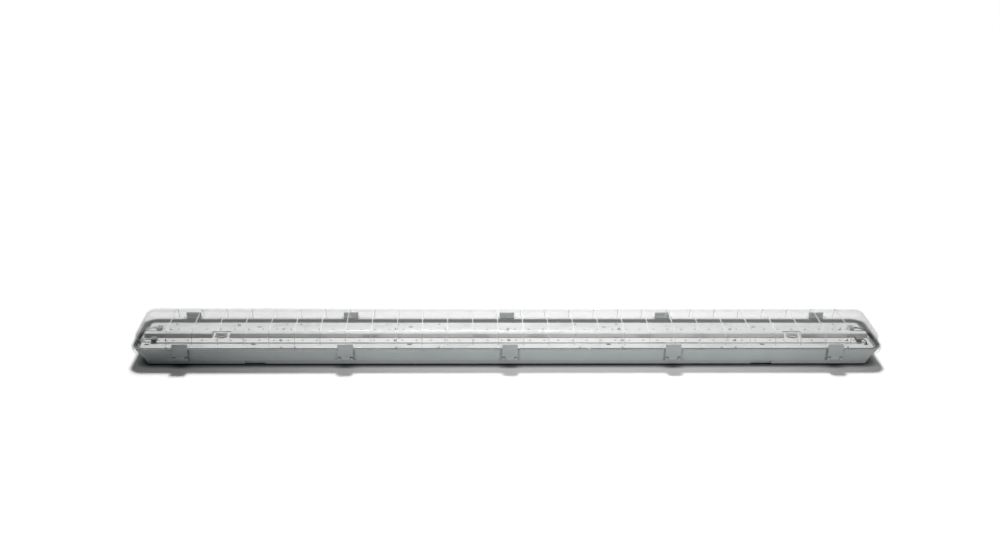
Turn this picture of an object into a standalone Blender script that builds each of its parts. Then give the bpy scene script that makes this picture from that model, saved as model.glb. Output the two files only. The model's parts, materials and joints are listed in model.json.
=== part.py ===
"""A slim vapour tight LED fitting, lying on its back with its clear cover upwards.

X runs along the fitting, Y across it and Z up from the back of the housing. All sizes are in metres.
The housing carries everything: the gear tray stands on posts inside it, the cover lies on its rim over a
gasket, and ten latches that swing on trunnions in the housing's lugs hook over the cover's flange.
"""

import math

import bmesh
import bpy
from mathutils import Matrix, Vector

# General values
LENGTH = 1.268
WIDTH = 0.1452
FIT_GAP = 0.0003
EDGE_BREAK = 0.0006
OVERRUN = 0.002
OVERLAP = 0.002
MERGE = 0.000001
CORNER_STEPS = 8
FINE_SIDES = 16
COARSE_SIDES = 8

# Housing: a tub with a drafted wall, a chamfer that ends above a set-back foot, and a grooved rim
HOUSING_HEIGHT = 0.0309
HOUSING_WALL = 0.0026
HOUSING_FLOOR = 0.0025
FACET_HEIGHT = 0.010
FACET_SIDE_INSET = 0.0039
FACET_END_INSET = 0.0194
BACK_SIDE_INSET = 0.0070
BACK_END_INSET = 0.0251
FOOT_HEIGHT = 0.0022
FOOT_SETBACK = 0.0080
RIM_CORNER = 0.0240
FACET_CORNER = 0.0130
BACK_CORNER = 0.0060
FOOT_CORNER = 0.0030
RIM_WIDTH = 0.0054
RIM_DEPTH = 0.0045
RIM_LAND_DEPTH = 0.0035
RIM_SIDE_SETBACK = 0.0008
RIM_END_SETBACK = 0.0030
GROOVE_WIDTH = 0.0024
GROOVE_DEPTH = 0.0020

# Recesses in the chamfer, where the mounting clips grip, each closed inside by a wall of its own
NOTCH_X_SHARE = 0.6720
NOTCH_LENGTH = 0.0350
NOTCH_HEIGHT = 0.0080
NOTCH_DEPTH = 0.0050

# Clear cover
LENS_WALL = 0.0018
LIP_CLEARANCE = 0.0004
LIP_DEPTH = 0.0031
LIP_CORNER = 0.0262
SKIRT_DEPTH = 0.0115
SKIRT_CORNER_SHARE = 0.5
FLANGE_SIDE_WIDTH = 0.0080
FLANGE_END_WIDTH = 0.0048
LENS_SIDE_DRAFT = 0.0020
LENS_END_DRAFT = 0.0008
LENS_UPRIGHT = 0.0085
LENS_SHOULDER = 0.0165
LENS_CROWN = 0.0008
LENS_CROWN_INSET = 0.0230
LENS_TOP_CORNER = 0.0060
SHOULDER_STEPS = 6

# Gear tray: bent sheet with turned-down edges and a pressed spine
TRAY_SHEET = 0.0008
TRAY_DROP = 0.0036
TRAY_SIDE_GAP = 0.0050
TRAY_END_GAP = 0.0066
TRAY_EDGE_DEPTH = 0.0050
TRAY_CHAMFER = 0.0045
SPINE_TOP_WIDTH = 0.0114
SPINE_FOOT_WIDTH = 0.0178
SPINE_HEIGHT = 0.0060
SPINE_RAMP = 0.0020
CABLE_SLOT_LENGTH = 0.0080
CABLE_SLOT_WIDTH = 0.0045
CABLE_SLOT_SETOUT = 0.0026
CABLE_SLOT_END_MARGIN = 0.0095
CABLE_SLOT_X_SHARES = (0.272, 0.696)
STRAP_SLOT_LENGTH = 0.0060
STRAP_SLOT_WIDTH = 0.0016
STRAP_SLOT_X_SHARE = 0.609

# Light boards, their packages, screws and connectors
BOARD_WIDTH = 0.0180
BOARD_THICKNESS = 0.0012
BOARD_SPINE_GAP = 0.0076
BOARD_END_MARGIN = 0.0158
LED_COUNT = 25
LED_LENGTH = 0.0035
LED_WIDTH = 0.0028
LED_HEIGHT = 0.0007
LEDS_PER_SCREW = 8
SCREW_SHANK_RADIUS = 0.0013
SCREW_HEAD_RADIUS = 0.0028
SCREW_HEAD_HEIGHT = 0.0016
SCREW_TAIL = 0.0020
CONNECTOR_LENGTH = 0.0090
CONNECTOR_WIDTH = 0.0130
CONNECTOR_HEIGHT = 0.0045

# Rivets along the tray's edges
RIVET_EDGE_MARGIN = 0.0075
RIVET_HEAD_RADIUS = 0.0018
RIVET_HEAD_HEIGHT = 0.0008
RIVET_X_SHARES = (0.192, 0.309, 0.581, 0.619, 0.928)

# Quarter-turn knobs that hold the tray on two posts
KNOB_X_SHARE = 0.7914
KNOB_RADIUS = 0.0108
KNOB_BASE = 0.0022
KNOB_GRIP_WIDTH = 0.0042
KNOB_GRIP_HEIGHT = 0.0030
KNOB_GRIP_MARGIN = 0.0012
KNOB_SHANK_RADIUS = 0.0040
KNOB_SHANK_DEPTH = 0.0100
KNOB_POST_WALL = 0.0040
KNOB_POST_SOLE = 0.0030
SPINE_FLAT_MARGIN = 0.0030
REST_X_SHARE = 0.480
REST_EDGE_MARGIN = 0.0130
REST_LENGTH = 0.0120
REST_WIDTH = 0.0050

# Driver, terminal block and earth screw under the tray
DRIVER_LENGTH = 0.3600
DRIVER_WIDTH = 0.0300
DRIVER_FLOOR_GAP = 0.0047
DRIVER_EAR_LENGTH = 0.0110
DRIVER_EAR_THICKNESS = 0.0015
DRIVER_SCREW_SPREAD = 0.0240
TERMINAL_LENGTH = 0.0300
TERMINAL_WIDTH = 0.0260
TERMINAL_HEIGHT = 0.0150
TERMINAL_MARGIN = 0.0750
TERMINAL_SCREW_RADIUS = 0.0028
TERMINAL_SCREW_HEIGHT = 0.0008
EARTH_SCREW_ADVANCE = 0.0900
LEAD_RADIUS = 0.0010
LEAD_CLEARANCE = 0.0025
LEAD_STEPS = 3

# Cable entries, closed with plugs
ENTRY_BORE_RADIUS = 0.0062
ENTRY_BOSS_WALL = 0.0020
ENTRY_MOUTH_INSET = 0.0050
ENTRY_FACE_INSET = 0.0130
PLUG_HEAD_RIM = 0.0022
PLUG_POCKET_GAP = 0.0006
ENTRY_BOSS_LENGTH = 0.0230
ENTRY_WASHER_THICKNESS = 0.0015
PLUG_HEAD_THICKNESS = 0.0025
ENTRY_NUT_THICKNESS = 0.0040
ENTRY_NUT_WALL = 0.0025
PLUG_TAIL = 0.0015

# Latches, with trunnions that swing in the housing's lugs
LATCH_COUNT = 5
LATCH_END_MARGIN = 0.0848
LATCH_CLEARANCE = 0.0004
PIN_SETBACK = 0.0021
LATCH_WIDTH = 0.0260
LATCH_TONGUE_WIDTH = 0.0150
LATCH_TAB_HEIGHT = 0.0085
LATCH_TAB_THICKNESS = 0.0018
LATCH_THICKNESS = 0.0022
LATCH_FOOT_OUT = 0.0006
LATCH_FOOT_RISE = 0.0016
HOOK_REACH = 0.0046
HOOK_THICKNESS = 0.0021
LATCH_BOW_SHARES = ((0.25, 0.45), (0.60, 0.90))
BARREL_RADIUS = 0.0030
BARREL_SWEEP = 250
PIN_RADIUS = 0.0014
LUG_RADIUS = 0.0034
LUG_WIDTH = 0.0045
LUG_SIDE_GAP = 0.0005
LUG_LIFT = 0.0002

# Sizes that follow from the ones above
rim_half_length = LENGTH / 2 - LENS_WALL - LIP_CLEARANCE
rim_half_width = WIDTH / 2 - LENS_WALL - LIP_CLEARANCE
flange_top = HOUSING_HEIGHT + FIT_GAP + LENS_WALL
groove_inset = (RIM_WIDTH - GROOVE_WIDTH) / 2
tray_half_length = rim_half_length - RIM_WIDTH - TRAY_END_GAP
tray_half_width = rim_half_width - RIM_WIDTH - TRAY_SIDE_GAP
tray_top = HOUSING_HEIGHT - TRAY_DROP
tray_under = tray_top - TRAY_SHEET
board_base = tray_top + FIT_GAP
board_top = board_base + BOARD_THICKNESS
board_length = tray_half_length - BOARD_END_MARGIN
row_offset = SPINE_FOOT_WIDTH / 2 + BOARD_SPINE_GAP + BOARD_WIDTH / 2
led_pitch = board_length / LED_COUNT
knob_x = tray_half_length * KNOB_X_SHARE
knob_bore_radius = KNOB_SHANK_RADIUS + FIT_GAP
cable_slot_y = row_offset + BOARD_WIDTH / 2 + CABLE_SLOT_SETOUT + CABLE_SLOT_WIDTH / 2
end_slot_x = tray_half_length - CABLE_SLOT_END_MARGIN
driver_height = tray_under - FIT_GAP - DRIVER_FLOOR_GAP - HOUSING_FLOOR
driver_screw_x = DRIVER_LENGTH / 2 + DRIVER_EAR_LENGTH / 2
terminal_x = TERMINAL_MARGIN - rim_half_length
earth_screw_x = terminal_x + EARTH_SCREW_ADVANCE
earth_screw_y = (row_offset + BOARD_WIDTH / 2 + tray_half_width) / 2
pin_y = WIDTH / 2 - PIN_SETBACK
lip_out = WIDTH / 2 + LATCH_CLEARANCE - pin_y
pin_z = FACET_HEIGHT + LUG_RADIUS + LUG_LIFT
latch_pitch = (LENGTH - 2 * LATCH_END_MARGIN) / (LATCH_COUNT - 1)
lug_inner_x = LATCH_TONGUE_WIDTH / 2 + LUG_SIDE_GAP
lug_outer_x = lug_inner_x + LUG_WIDTH
entry_z = (HOUSING_FLOOR + tray_under) / 2
plug_head_radius = ENTRY_BORE_RADIUS + PLUG_HEAD_RIM
entry_pocket_radius = plug_head_radius + PLUG_POCKET_GAP
entry_boss_radius = entry_pocket_radius + ENTRY_BOSS_WALL
entry_mouth_x = rim_half_length - ENTRY_MOUTH_INSET
entry_face_x = rim_half_length - ENTRY_FACE_INSET
entry_inner_x = entry_face_x - ENTRY_BOSS_LENGTH

for old in list(bpy.data.objects):
    bpy.data.objects.remove(old, do_unlink=True)

parts = bpy.data.collections.new("vapour_tight_light")
bpy.context.scene.collection.children.link(parts)
cutters = bpy.data.collections.new("cutters")
bpy.context.scene.collection.children.link(cutters)


def make_material(name, colour, roughness, metallic=0.0, alpha=1.0):
    """A Principled material with one finish."""
    made = bpy.data.materials.new(name)
    made.use_nodes = True
    shader = made.node_tree.nodes["Principled BSDF"]
    shader.inputs["Base Color"].default_value = (*colour, 1.0)
    shader.inputs["Roughness"].default_value = roughness
    shader.inputs["Metallic"].default_value = metallic
    shader.inputs["Alpha"].default_value = alpha
    return made


def add_box(bm, low, high):
    """A box between two corners."""
    size = Vector(high) - Vector(low)
    place = Matrix.Translation((Vector(high) + Vector(low)) / 2)
    bmesh.ops.create_cube(bm, size=1.0, matrix=place @ Matrix.Diagonal((*size, 1.0)))


def add_cylinder(bm, start, end, radius, sides):
    """A cylinder from one point to another."""
    run = Vector(end) - Vector(start)
    turn = run.to_track_quat("Z", "Y").to_matrix().to_4x4()
    place = Matrix.Translation((Vector(start) + Vector(end)) / 2) @ turn
    bmesh.ops.create_cone(
        bm, cap_ends=True, segments=sides, radius1=radius, radius2=radius, depth=run.length, matrix=place
    )


def add_turned(bm, centre, axis, profile, sides):
    """Turns a profile of (radius, distance along the axis) about an axis through centre."""
    along = Vector(axis)
    across = along.orthogonal().normalized()
    verts = [bm.verts.new(Vector(centre) + along * reach + across * radius) for radius, reach in profile]
    geometry = verts + [bm.edges.new(pair) for pair in zip(verts, verts[1:])]
    bmesh.ops.spin(
        bm, geom=geometry, cent=centre, axis=along, angle=math.tau, steps=sides, use_merge=True
    )


def add_prism(bm, outline, low_x, high_x):
    """An outline of (y, z) points, run along X."""
    face = bm.faces.new([bm.verts.new((low_x, y, z)) for y, z in outline])
    grown = bmesh.ops.extrude_face_region(bm, geom=[face])["geom"]
    moved = [item for item in grown if isinstance(item, bmesh.types.BMVert)]
    bmesh.ops.translate(bm, verts=moved, vec=(high_x - low_x, 0.0, 0.0))


def add_stadium(bm, centre, length, width, low_z, high_z):
    """A slot shape along X with round ends, between two heights."""
    radius = width / 2
    outline = []
    for side, first in ((1, -90), (-1, 90)):
        end_x = centre[0] + side * (length / 2 - radius)
        for step in range(CORNER_STEPS):
            angle = math.radians(first + 180 * step / (CORNER_STEPS - 1))
            outline.append((end_x + radius * math.cos(angle), centre[1] + radius * math.sin(angle)))
    face = bm.faces.new([bm.verts.new((x, y, low_z)) for x, y in outline])
    grown = bmesh.ops.extrude_face_region(bm, geom=[face])["geom"]
    moved = [item for item in grown if isinstance(item, bmesh.types.BMVert)]
    bmesh.ops.translate(bm, verts=moved, vec=(0.0, 0.0, high_z - low_z))


def ring(half_length, half_width, corner, height):
    """A rounded rectangle at one height."""
    points = []
    for index, (side_x, side_y) in enumerate(((1, 1), (-1, 1), (-1, -1), (1, -1))):
        for step in range(CORNER_STEPS + 1):
            angle = math.radians(90 * (index + step / CORNER_STEPS))
            points.append(
                (
                    side_x * (half_length - corner) + corner * math.cos(angle),
                    side_y * (half_width - corner) + corner * math.sin(angle),
                    height,
                )
            )
    return points


def add_loft(bm, rings, floor=True, closed=False):
    """A skin from ring to ring, open or with a floor below and flat on top, or closed on itself."""
    rows = [[bm.verts.new(point) for point in points] for points in rings]
    pairs = list(zip(rows, rows[1:]))
    if closed:
        pairs.append((rows[-1], rows[0]))
    for low, high in pairs:
        for index in range(len(low)):
            following = (index + 1) % len(low)
            bm.faces.new((low[index], low[following], high[following], high[index]))
    if closed:
        return
    if floor:
        bm.faces.new(rows[0][::-1])
    bm.faces.new(rows[-1])


def make_object(name, bm, collection, material=None):
    """Turns a finished bmesh into an object with its faces pointing out."""
    bmesh.ops.remove_doubles(bm, verts=bm.verts, dist=MERGE)
    bmesh.ops.recalc_face_normals(bm, faces=bm.faces)
    mesh = bpy.data.meshes.new(name)
    bm.to_mesh(mesh)
    bm.free()
    made = bpy.data.objects.new(name, mesh)
    collection.objects.link(made)
    if material:
        mesh.materials.append(material)
    else:
        made.hide_render = True
        made.display_type = "WIRE"
    return made


def make_sheet(name, bm, material, thickness):
    """Turns an open skin into an object and gives it its thickness inwards."""
    mesh = bpy.data.meshes.new(name)
    bm.to_mesh(mesh)
    bm.free()
    mesh.materials.append(material)
    made = bpy.data.objects.new(name, mesh)
    parts.objects.link(made)
    wall = made.modifiers.new("wall", "SOLIDIFY")
    wall.thickness = thickness
    wall.offset = -1.0
    wall.use_even_offset = True
    return made


def carve(target, tool, operation="DIFFERENCE"):
    """Cuts a tool from a piece, or joins it on."""
    modifier = target.modifiers.new(tool.name, "BOOLEAN")
    modifier.operation = operation
    modifier.object = tool


def latch_places():
    """Each latch's name, its place along X and the side of the housing that it is on."""
    for side, row in ((-1, "front"), (1, "rear")):
        for index in range(LATCH_COUNT):
            x = (index - (LATCH_COUNT - 1) / 2) * latch_pitch
            yield f"{row}_{index + 1}", x, side


def both(value):
    """A value with either sign."""
    return (-value, value)


def housing_ring(end_inset, side_inset, corner, height):
    """A ring of the housing, measured in from the rim's outer edge."""
    return ring(rim_half_length - end_inset, rim_half_width - side_inset, corner, height)


def rim_ring(inset, height):
    """A ring in the rim, at an even distance from its outer edge."""
    return housing_ring(inset, inset, RIM_CORNER - inset, height)


def make_housing(material):
    """The tub, with its lugs, posts, tray rests, entry bosses and the walls round its recesses joined on."""
    wall_top = HOUSING_HEIGHT - RIM_DEPTH
    groove_floor = HOUSING_HEIGHT - GROOVE_DEPTH
    wall_end = RIM_END_SETBACK + HOUSING_WALL
    wall_side = RIM_SIDE_SETBACK + HOUSING_WALL
    facet_end = FACET_END_INSET + HOUSING_WALL
    facet_side = FACET_SIDE_INSET + HOUSING_WALL
    foot_end = BACK_END_INSET + FOOT_SETBACK
    foot_side = BACK_SIDE_INSET + FOOT_SETBACK
    ledge = FOOT_HEIGHT + HOUSING_FLOOR
    rings = [
        housing_ring(foot_end, foot_side, FOOT_CORNER, 0.0),
        housing_ring(foot_end, foot_side, FOOT_CORNER, FOOT_HEIGHT),
        housing_ring(BACK_END_INSET, BACK_SIDE_INSET, BACK_CORNER, FOOT_HEIGHT),
        housing_ring(FACET_END_INSET, FACET_SIDE_INSET, FACET_CORNER, FACET_HEIGHT),
        housing_ring(RIM_END_SETBACK, RIM_SIDE_SETBACK, RIM_CORNER - RIM_SIDE_SETBACK, wall_top),
        rim_ring(0.0, HOUSING_HEIGHT),
        rim_ring(groove_inset, HOUSING_HEIGHT),
        rim_ring(groove_inset, groove_floor),
        rim_ring(groove_inset + GROOVE_WIDTH, groove_floor),
        rim_ring(groove_inset + GROOVE_WIDTH, HOUSING_HEIGHT),
        rim_ring(RIM_WIDTH, HOUSING_HEIGHT),
        rim_ring(RIM_WIDTH, HOUSING_HEIGHT - RIM_LAND_DEPTH),
        housing_ring(wall_end, wall_side, RIM_CORNER - HOUSING_WALL, wall_top),
        housing_ring(facet_end, facet_side, FACET_CORNER - HOUSING_WALL, FACET_HEIGHT),
        housing_ring(BACK_END_INSET + HOUSING_WALL, BACK_SIDE_INSET + HOUSING_WALL, FOOT_CORNER, ledge),
        housing_ring(foot_end + HOUSING_WALL, foot_side + HOUSING_WALL, FOOT_CORNER, ledge),
        housing_ring(foot_end + HOUSING_WALL, foot_side + HOUSING_WALL, FOOT_CORNER, HOUSING_FLOOR),
    ]
    bm = bmesh.new()
    add_loft(bm, rings)
    housing = make_object("housing", bm, parts, material)

    bm = bmesh.new()
    wall_y = rim_half_width - FACET_SIDE_INSET - HOUSING_WALL / 3
    for _, x, side in latch_places():
        outline = lug_outline(side, wall_y)
        for flank in (-1, 1):
            edges = sorted((x + flank * lug_inner_x, x + flank * lug_outer_x))
            add_prism(bm, outline, *edges)
    sunk = HOUSING_FLOOR / 2
    for x in both(knob_x):
        top = (x, 0.0, tray_under - FIT_GAP)
        add_cylinder(bm, (x, 0.0, sunk), top, knob_bore_radius + KNOB_POST_WALL, FINE_SIDES)
    rest_x = tray_half_length * REST_X_SHARE
    rest_y = tray_half_width - REST_EDGE_MARGIN
    for x in both(rest_x):
        for y in both(rest_y):
            low = (x - REST_LENGTH / 2, y - REST_WIDTH / 2, sunk)
            high = (x + REST_LENGTH / 2, y + REST_WIDTH / 2, tray_under - FIT_GAP)
            add_box(bm, low, high)
    for side in (-1, 1):
        ends = ((side * entry_inner_x, 0.0, entry_z), (side * entry_mouth_x, 0.0, entry_z))
        add_cylinder(bm, *ends, entry_boss_radius, FINE_SIDES)
    notch_x = LENGTH / 2 * NOTCH_X_SHARE
    backing_depths = (NOTCH_DEPTH + HOUSING_WALL, HOUSING_WALL / 2)
    backing_heights = (ledge - HOUSING_FLOOR / 2, NOTCH_HEIGHT + HOUSING_WALL)
    backing_reach = NOTCH_LENGTH / 2 + HOUSING_WALL
    for x in both(notch_x):
        for outline in chamfer_bands(backing_depths, backing_heights):
            add_prism(bm, outline, x - backing_reach, x + backing_reach)
    carve(housing, make_object("housing_additions", bm, cutters), "UNION")

    bm = bmesh.new()
    for _, x, side in latch_places():
        reach = lug_outer_x + OVERRUN
        ends = ((x - reach, side * pin_y, pin_z), (x + reach, side * pin_y, pin_z))
        add_cylinder(bm, *ends, PIN_RADIUS + FIT_GAP, COARSE_SIDES)
    bore_floor = tray_top - KNOB_SHANK_DEPTH - KNOB_POST_SOLE
    for x in both(knob_x):
        add_cylinder(bm, (x, 0.0, bore_floor), (x, 0.0, tray_top), knob_bore_radius, FINE_SIDES)
    for side in (-1, 1):
        profile = [
            (0.0, entry_inner_x - OVERRUN),
            (ENTRY_BORE_RADIUS, entry_inner_x - OVERRUN),
            (ENTRY_BORE_RADIUS, entry_face_x),
            (entry_pocket_radius, entry_face_x),
            (entry_pocket_radius, entry_mouth_x + OVERRUN),
            (0.0, entry_mouth_x + OVERRUN),
        ]
        add_turned(bm, (0.0, 0.0, entry_z), (side, 0, 0), profile, FINE_SIDES)
    for x in both(notch_x):
        for outline in chamfer_bands((NOTCH_DEPTH, -OVERRUN), (-OVERRUN, NOTCH_HEIGHT)):
            add_prism(bm, outline, x - NOTCH_LENGTH / 2, x + NOTCH_LENGTH / 2)
    carve(housing, make_object("housing_cuts", bm, cutters))
    return housing


def lug_outline(side, wall_y):
    """A lug seen along X: a round nose about the pin, and a web that runs into the wall."""
    nose = []
    for step in range(CORNER_STEPS + 1):
        angle = math.radians(-90 + 180 * step / CORNER_STEPS)
        nose.append((side * (pin_y + LUG_RADIUS * math.cos(angle)), pin_z + LUG_RADIUS * math.sin(angle)))
    return [(side * wall_y, pin_z - LUG_RADIUS), *nose, (side * wall_y, pin_z + LUG_RADIUS)]


def chamfer_bands(depths, heights):
    """Seen along X, the space on either side between two depths below the chamfer's face and two heights."""
    slope = (BACK_SIDE_INSET - FACET_SIDE_INSET) / (FACET_HEIGHT - FOOT_HEIGHT)
    foot_y = rim_half_width - BACK_SIDE_INSET
    outline = []
    for depth, height in zip((depths[0], depths[0], depths[1], depths[1]), (*heights, *heights[::-1])):
        outline.append((foot_y + slope * (height - FOOT_HEIGHT) - depth, height))
    return [[(side * y, z) for y, z in outline] for side in (-1, 1)]


def make_gasket(material):
    """A foam cord in the rim's groove, just under the cover's flange."""
    outer = groove_inset + FIT_GAP
    inner = groove_inset + GROOVE_WIDTH - FIT_GAP
    low = HOUSING_HEIGHT - GROOVE_DEPTH + FIT_GAP
    bm = bmesh.new()
    corners = ((outer, low), (outer, HOUSING_HEIGHT), (inner, HOUSING_HEIGHT), (inner, low))
    add_loft(bm, [rim_ring(*corner) for corner in corners], closed=True)
    make_object("gasket", bm, parts, material)


def lens_ring(end_inset, side_inset, corner, height):
    """A ring of the cover's outside, measured in from the lip."""
    return ring(LENGTH / 2 - end_inset, WIDTH / 2 - side_inset, corner, height)


def make_lens(material):
    """The cover: its outer skin from the lip's lower edge to the crown, with a wall inwards.

    The lip is deeper round both ends, and rises over one step of each corner.
    """
    skirt_x = LENGTH / 2 - LIP_CORNER * SKIRT_CORNER_SHARE
    lip = [
        (x, y, z - (SKIRT_DEPTH if abs(x) > skirt_x else LIP_DEPTH))
        for x, y, z in lens_ring(0.0, 0.0, LIP_CORNER, flange_top)
    ]
    foot_corner = LIP_CORNER - FLANGE_END_WIDTH
    spring_end = FLANGE_END_WIDTH + LENS_END_DRAFT
    spring_side = FLANGE_SIDE_WIDTH + LENS_SIDE_DRAFT
    spring_z = flange_top + LENS_UPRIGHT
    rings = [
        lip,
        lens_ring(0.0, 0.0, LIP_CORNER, flange_top - EDGE_BREAK),
        lens_ring(EDGE_BREAK, EDGE_BREAK, LIP_CORNER - EDGE_BREAK, flange_top),
        lens_ring(FLANGE_END_WIDTH, FLANGE_SIDE_WIDTH, foot_corner, flange_top),
        lens_ring(spring_end, spring_side, foot_corner, spring_z),
    ]
    for step in range(1, SHOULDER_STEPS + 1):
        angle = math.radians(90 * step / SHOULDER_STEPS)
        inward = LENS_SHOULDER * (1 - math.cos(angle))
        corner = foot_corner + (LENS_TOP_CORNER - foot_corner) * step / SHOULDER_STEPS
        height = spring_z + LENS_SHOULDER * math.sin(angle)
        rings.append(lens_ring(spring_end + inward, spring_side + inward, corner, height))
    crown_end = spring_end + LENS_SHOULDER + LENS_CROWN_INSET
    crown_side = spring_side + LENS_SHOULDER + LENS_CROWN_INSET
    crown_z = spring_z + LENS_SHOULDER + LENS_CROWN
    rings.append(lens_ring(crown_end, crown_side, LENS_TOP_CORNER, crown_z))
    bm = bmesh.new()
    add_loft(bm, rings, floor=False)
    make_sheet("lens", bm, material, LENS_WALL)


def tray_section(x, half_width, spine_rise):
    """One cross section of the tray's upper face."""
    edge_z = tray_top - TRAY_EDGE_DEPTH
    return [
        (x, -half_width, edge_z),
        (x, -half_width, tray_top),
        (x, -SPINE_FOOT_WIDTH / 2, tray_top),
        (x, -SPINE_TOP_WIDTH / 2, tray_top + spine_rise),
        (x, SPINE_TOP_WIDTH / 2, tray_top + spine_rise),
        (x, SPINE_FOOT_WIDTH / 2, tray_top),
        (x, half_width, tray_top),
        (x, half_width, edge_z),
    ]


def make_tray(material):
    """Bent sheet: the spine is pressed flat around both knobs, and the corners are cut off."""
    flat_inner = knob_x - KNOB_RADIUS - SPINE_FLAT_MARGIN
    flat_outer = knob_x + KNOB_RADIUS + SPINE_FLAT_MARGIN
    half = [
        (flat_inner - SPINE_RAMP, tray_half_width, SPINE_HEIGHT),
        (flat_inner, tray_half_width, 0.0),
        (flat_outer, tray_half_width, 0.0),
        (flat_outer + SPINE_RAMP, tray_half_width, SPINE_HEIGHT),
        (tray_half_length - TRAY_CHAMFER, tray_half_width, SPINE_HEIGHT),
        (tray_half_length, tray_half_width - TRAY_CHAMFER, SPINE_HEIGHT),
    ]
    sections = [tray_section(-x, width, rise) for x, width, rise in reversed(half)]
    sections += [tray_section(*station) for station in half]
    bm = bmesh.new()
    rows = [[bm.verts.new(point) for point in section] for section in sections]
    for near, far in zip(rows, rows[1:]):
        for index in range(len(near) - 1):
            bm.faces.new((near[index], far[index], far[index + 1], near[index + 1]))
    tray = make_sheet("gear_tray", bm, material, TRAY_SHEET)

    bm = bmesh.new()
    low = tray_under - OVERRUN
    high = tray_top + OVERRUN
    slot_xs = [tray_half_length * share for share in CABLE_SLOT_X_SHARES]
    for slot_x in [*slot_xs, end_slot_x]:
        for x in both(slot_x):
            for y in both(cable_slot_y):
                add_stadium(bm, (x, y), CABLE_SLOT_LENGTH, CABLE_SLOT_WIDTH, low, high)
    strap_y = SPINE_FOOT_WIDTH / 2 + STRAP_SLOT_WIDTH
    for x in both(tray_half_length * STRAP_SLOT_X_SHARE):
        for y in both(strap_y):
            corner = (STRAP_SLOT_LENGTH / 2, STRAP_SLOT_WIDTH / 2)
            add_box(bm, (x - corner[0], y - corner[1], low), (x + corner[0], y + corner[1], high))
    for x in both(knob_x):
        add_cylinder(bm, (x, 0.0, low), (x, 0.0, high), knob_bore_radius, FINE_SIDES)
    for _, x, y in [*board_screw_places(), *driver_screw_places(), *earth_screw_places()]:
        add_cylinder(bm, (x, y, low), (x, y, high), SCREW_SHANK_RADIUS + FIT_GAP, COARSE_SIDES)
    carve(tray, make_object("tray_cuts", bm, cutters))

    bm = bmesh.new()
    for x, y in rivet_places():
        profile = [
            (0.0, RIVET_HEAD_HEIGHT),
            (RIVET_HEAD_RADIUS / 2, RIVET_HEAD_HEIGHT),
            (RIVET_HEAD_RADIUS, 0.0),
            (RIVET_HEAD_RADIUS, -TRAY_SHEET / 2),
            (0.0, -TRAY_SHEET / 2),
        ]
        add_turned(bm, (x, y, tray_top), (0, 0, 1), profile, COARSE_SIDES)
    carve(tray, make_object("tray_rivets", bm, cutters), "UNION")


def board_screw_places():
    """Screws at the joint of the boards and after every eighth package."""
    count = LED_COUNT // LEDS_PER_SCREW
    for flank, row in ((-1, "front"), (1, "rear")):
        for index in range(2 * count + 1):
            x = (index - count) * LEDS_PER_SCREW * led_pitch
            yield f"board_screw_{row}_{index + 1}", x, flank * row_offset


def driver_screw_places():
    """One screw in each corner of the driver's ears."""
    for side, end in ((-1, "left"), (1, "right")):
        for flank, row in ((-1, "front"), (1, "rear")):
            yield f"driver_screw_{row}_{end}", side * driver_screw_x, flank * DRIVER_SCREW_SPREAD / 2


def earth_screw_places():
    """The one screw that bonds the tray."""
    yield "earth_screw", earth_screw_x, earth_screw_y


def rivet_places():
    """Rivets in both edges of the tray, the same on either half."""
    for share in RIVET_X_SHARES:
        for x in both(tray_half_length * share):
            for y in both(tray_half_width - RIVET_EDGE_MARGIN):
                yield x, y


def make_boards(board_material, connector_material):
    """Two boards to each row, each with its soldered packages and a connector at its outer end."""
    bm = bmesh.new()
    for _, x, y in board_screw_places():
        ends = ((x, y, board_base - OVERRUN), (x, y, board_top + OVERRUN))
        add_cylinder(bm, *ends, SCREW_SHANK_RADIUS + FIT_GAP, COARSE_SIDES)
    holes = make_object("board_cuts", bm, cutters)
    for side, end in ((-1, "left"), (1, "right")):
        for flank, row in ((-1, "front"), (1, "rear")):
            y = flank * row_offset
            inner, outer = sorted((side * FIT_GAP / 2, side * board_length))
            bm = bmesh.new()
            add_box(bm, (inner, y - BOARD_WIDTH / 2, board_base), (outer, y + BOARD_WIDTH / 2, board_top))
            board = make_object(f"led_board_{row}_{end}", bm, parts, board_material)
            bm = bmesh.new()
            for index in range(LED_COUNT):
                x = side * led_pitch * (index + 1 / 2)
                low = (x - LED_LENGTH / 2, y - LED_WIDTH / 2, board_top - BOARD_THICKNESS / 2)
                add_box(bm, low, (x + LED_LENGTH / 2, y + LED_WIDTH / 2, board_top + LED_HEIGHT))
            carve(board, make_object(f"led_packages_{row}_{end}", bm, cutters), "UNION")
            carve(board, holes)
            base = board_top + FIT_GAP
            bm = bmesh.new()
            inner, outer = sorted((side * (board_length - CONNECTOR_LENGTH), side * board_length))
            low = (inner, y - CONNECTOR_WIDTH / 2, base)
            add_box(bm, low, (outer, y + CONNECTOR_WIDTH / 2, base + CONNECTOR_HEIGHT))
            make_object(f"board_connector_{row}_{end}", bm, parts, connector_material)


def make_screws(places, head_base, direction, grip, material):
    """Pan-head screws that share one mesh: the head lies on head_base and the shank runs through grip."""
    profile = [
        (0.0, SCREW_HEAD_HEIGHT),
        (SCREW_HEAD_RADIUS - EDGE_BREAK, SCREW_HEAD_HEIGHT),
        (SCREW_HEAD_RADIUS, SCREW_HEAD_HEIGHT / 2),
        (SCREW_HEAD_RADIUS, 0.0),
        (SCREW_SHANK_RADIUS, 0.0),
        (SCREW_SHANK_RADIUS, -grip),
        (0.0, -grip),
    ]
    mesh = None
    for name, x, y in places:
        if not mesh:
            bm = bmesh.new()
            add_turned(bm, (0.0, 0.0, 0.0), (0, 0, direction), profile, COARSE_SIDES)
            screw = make_object(name, bm, parts, material)
            mesh = screw.data
        else:
            screw = bpy.data.objects.new(name, mesh)
            parts.objects.link(screw)
        screw.location = (x, y, head_base)


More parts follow.
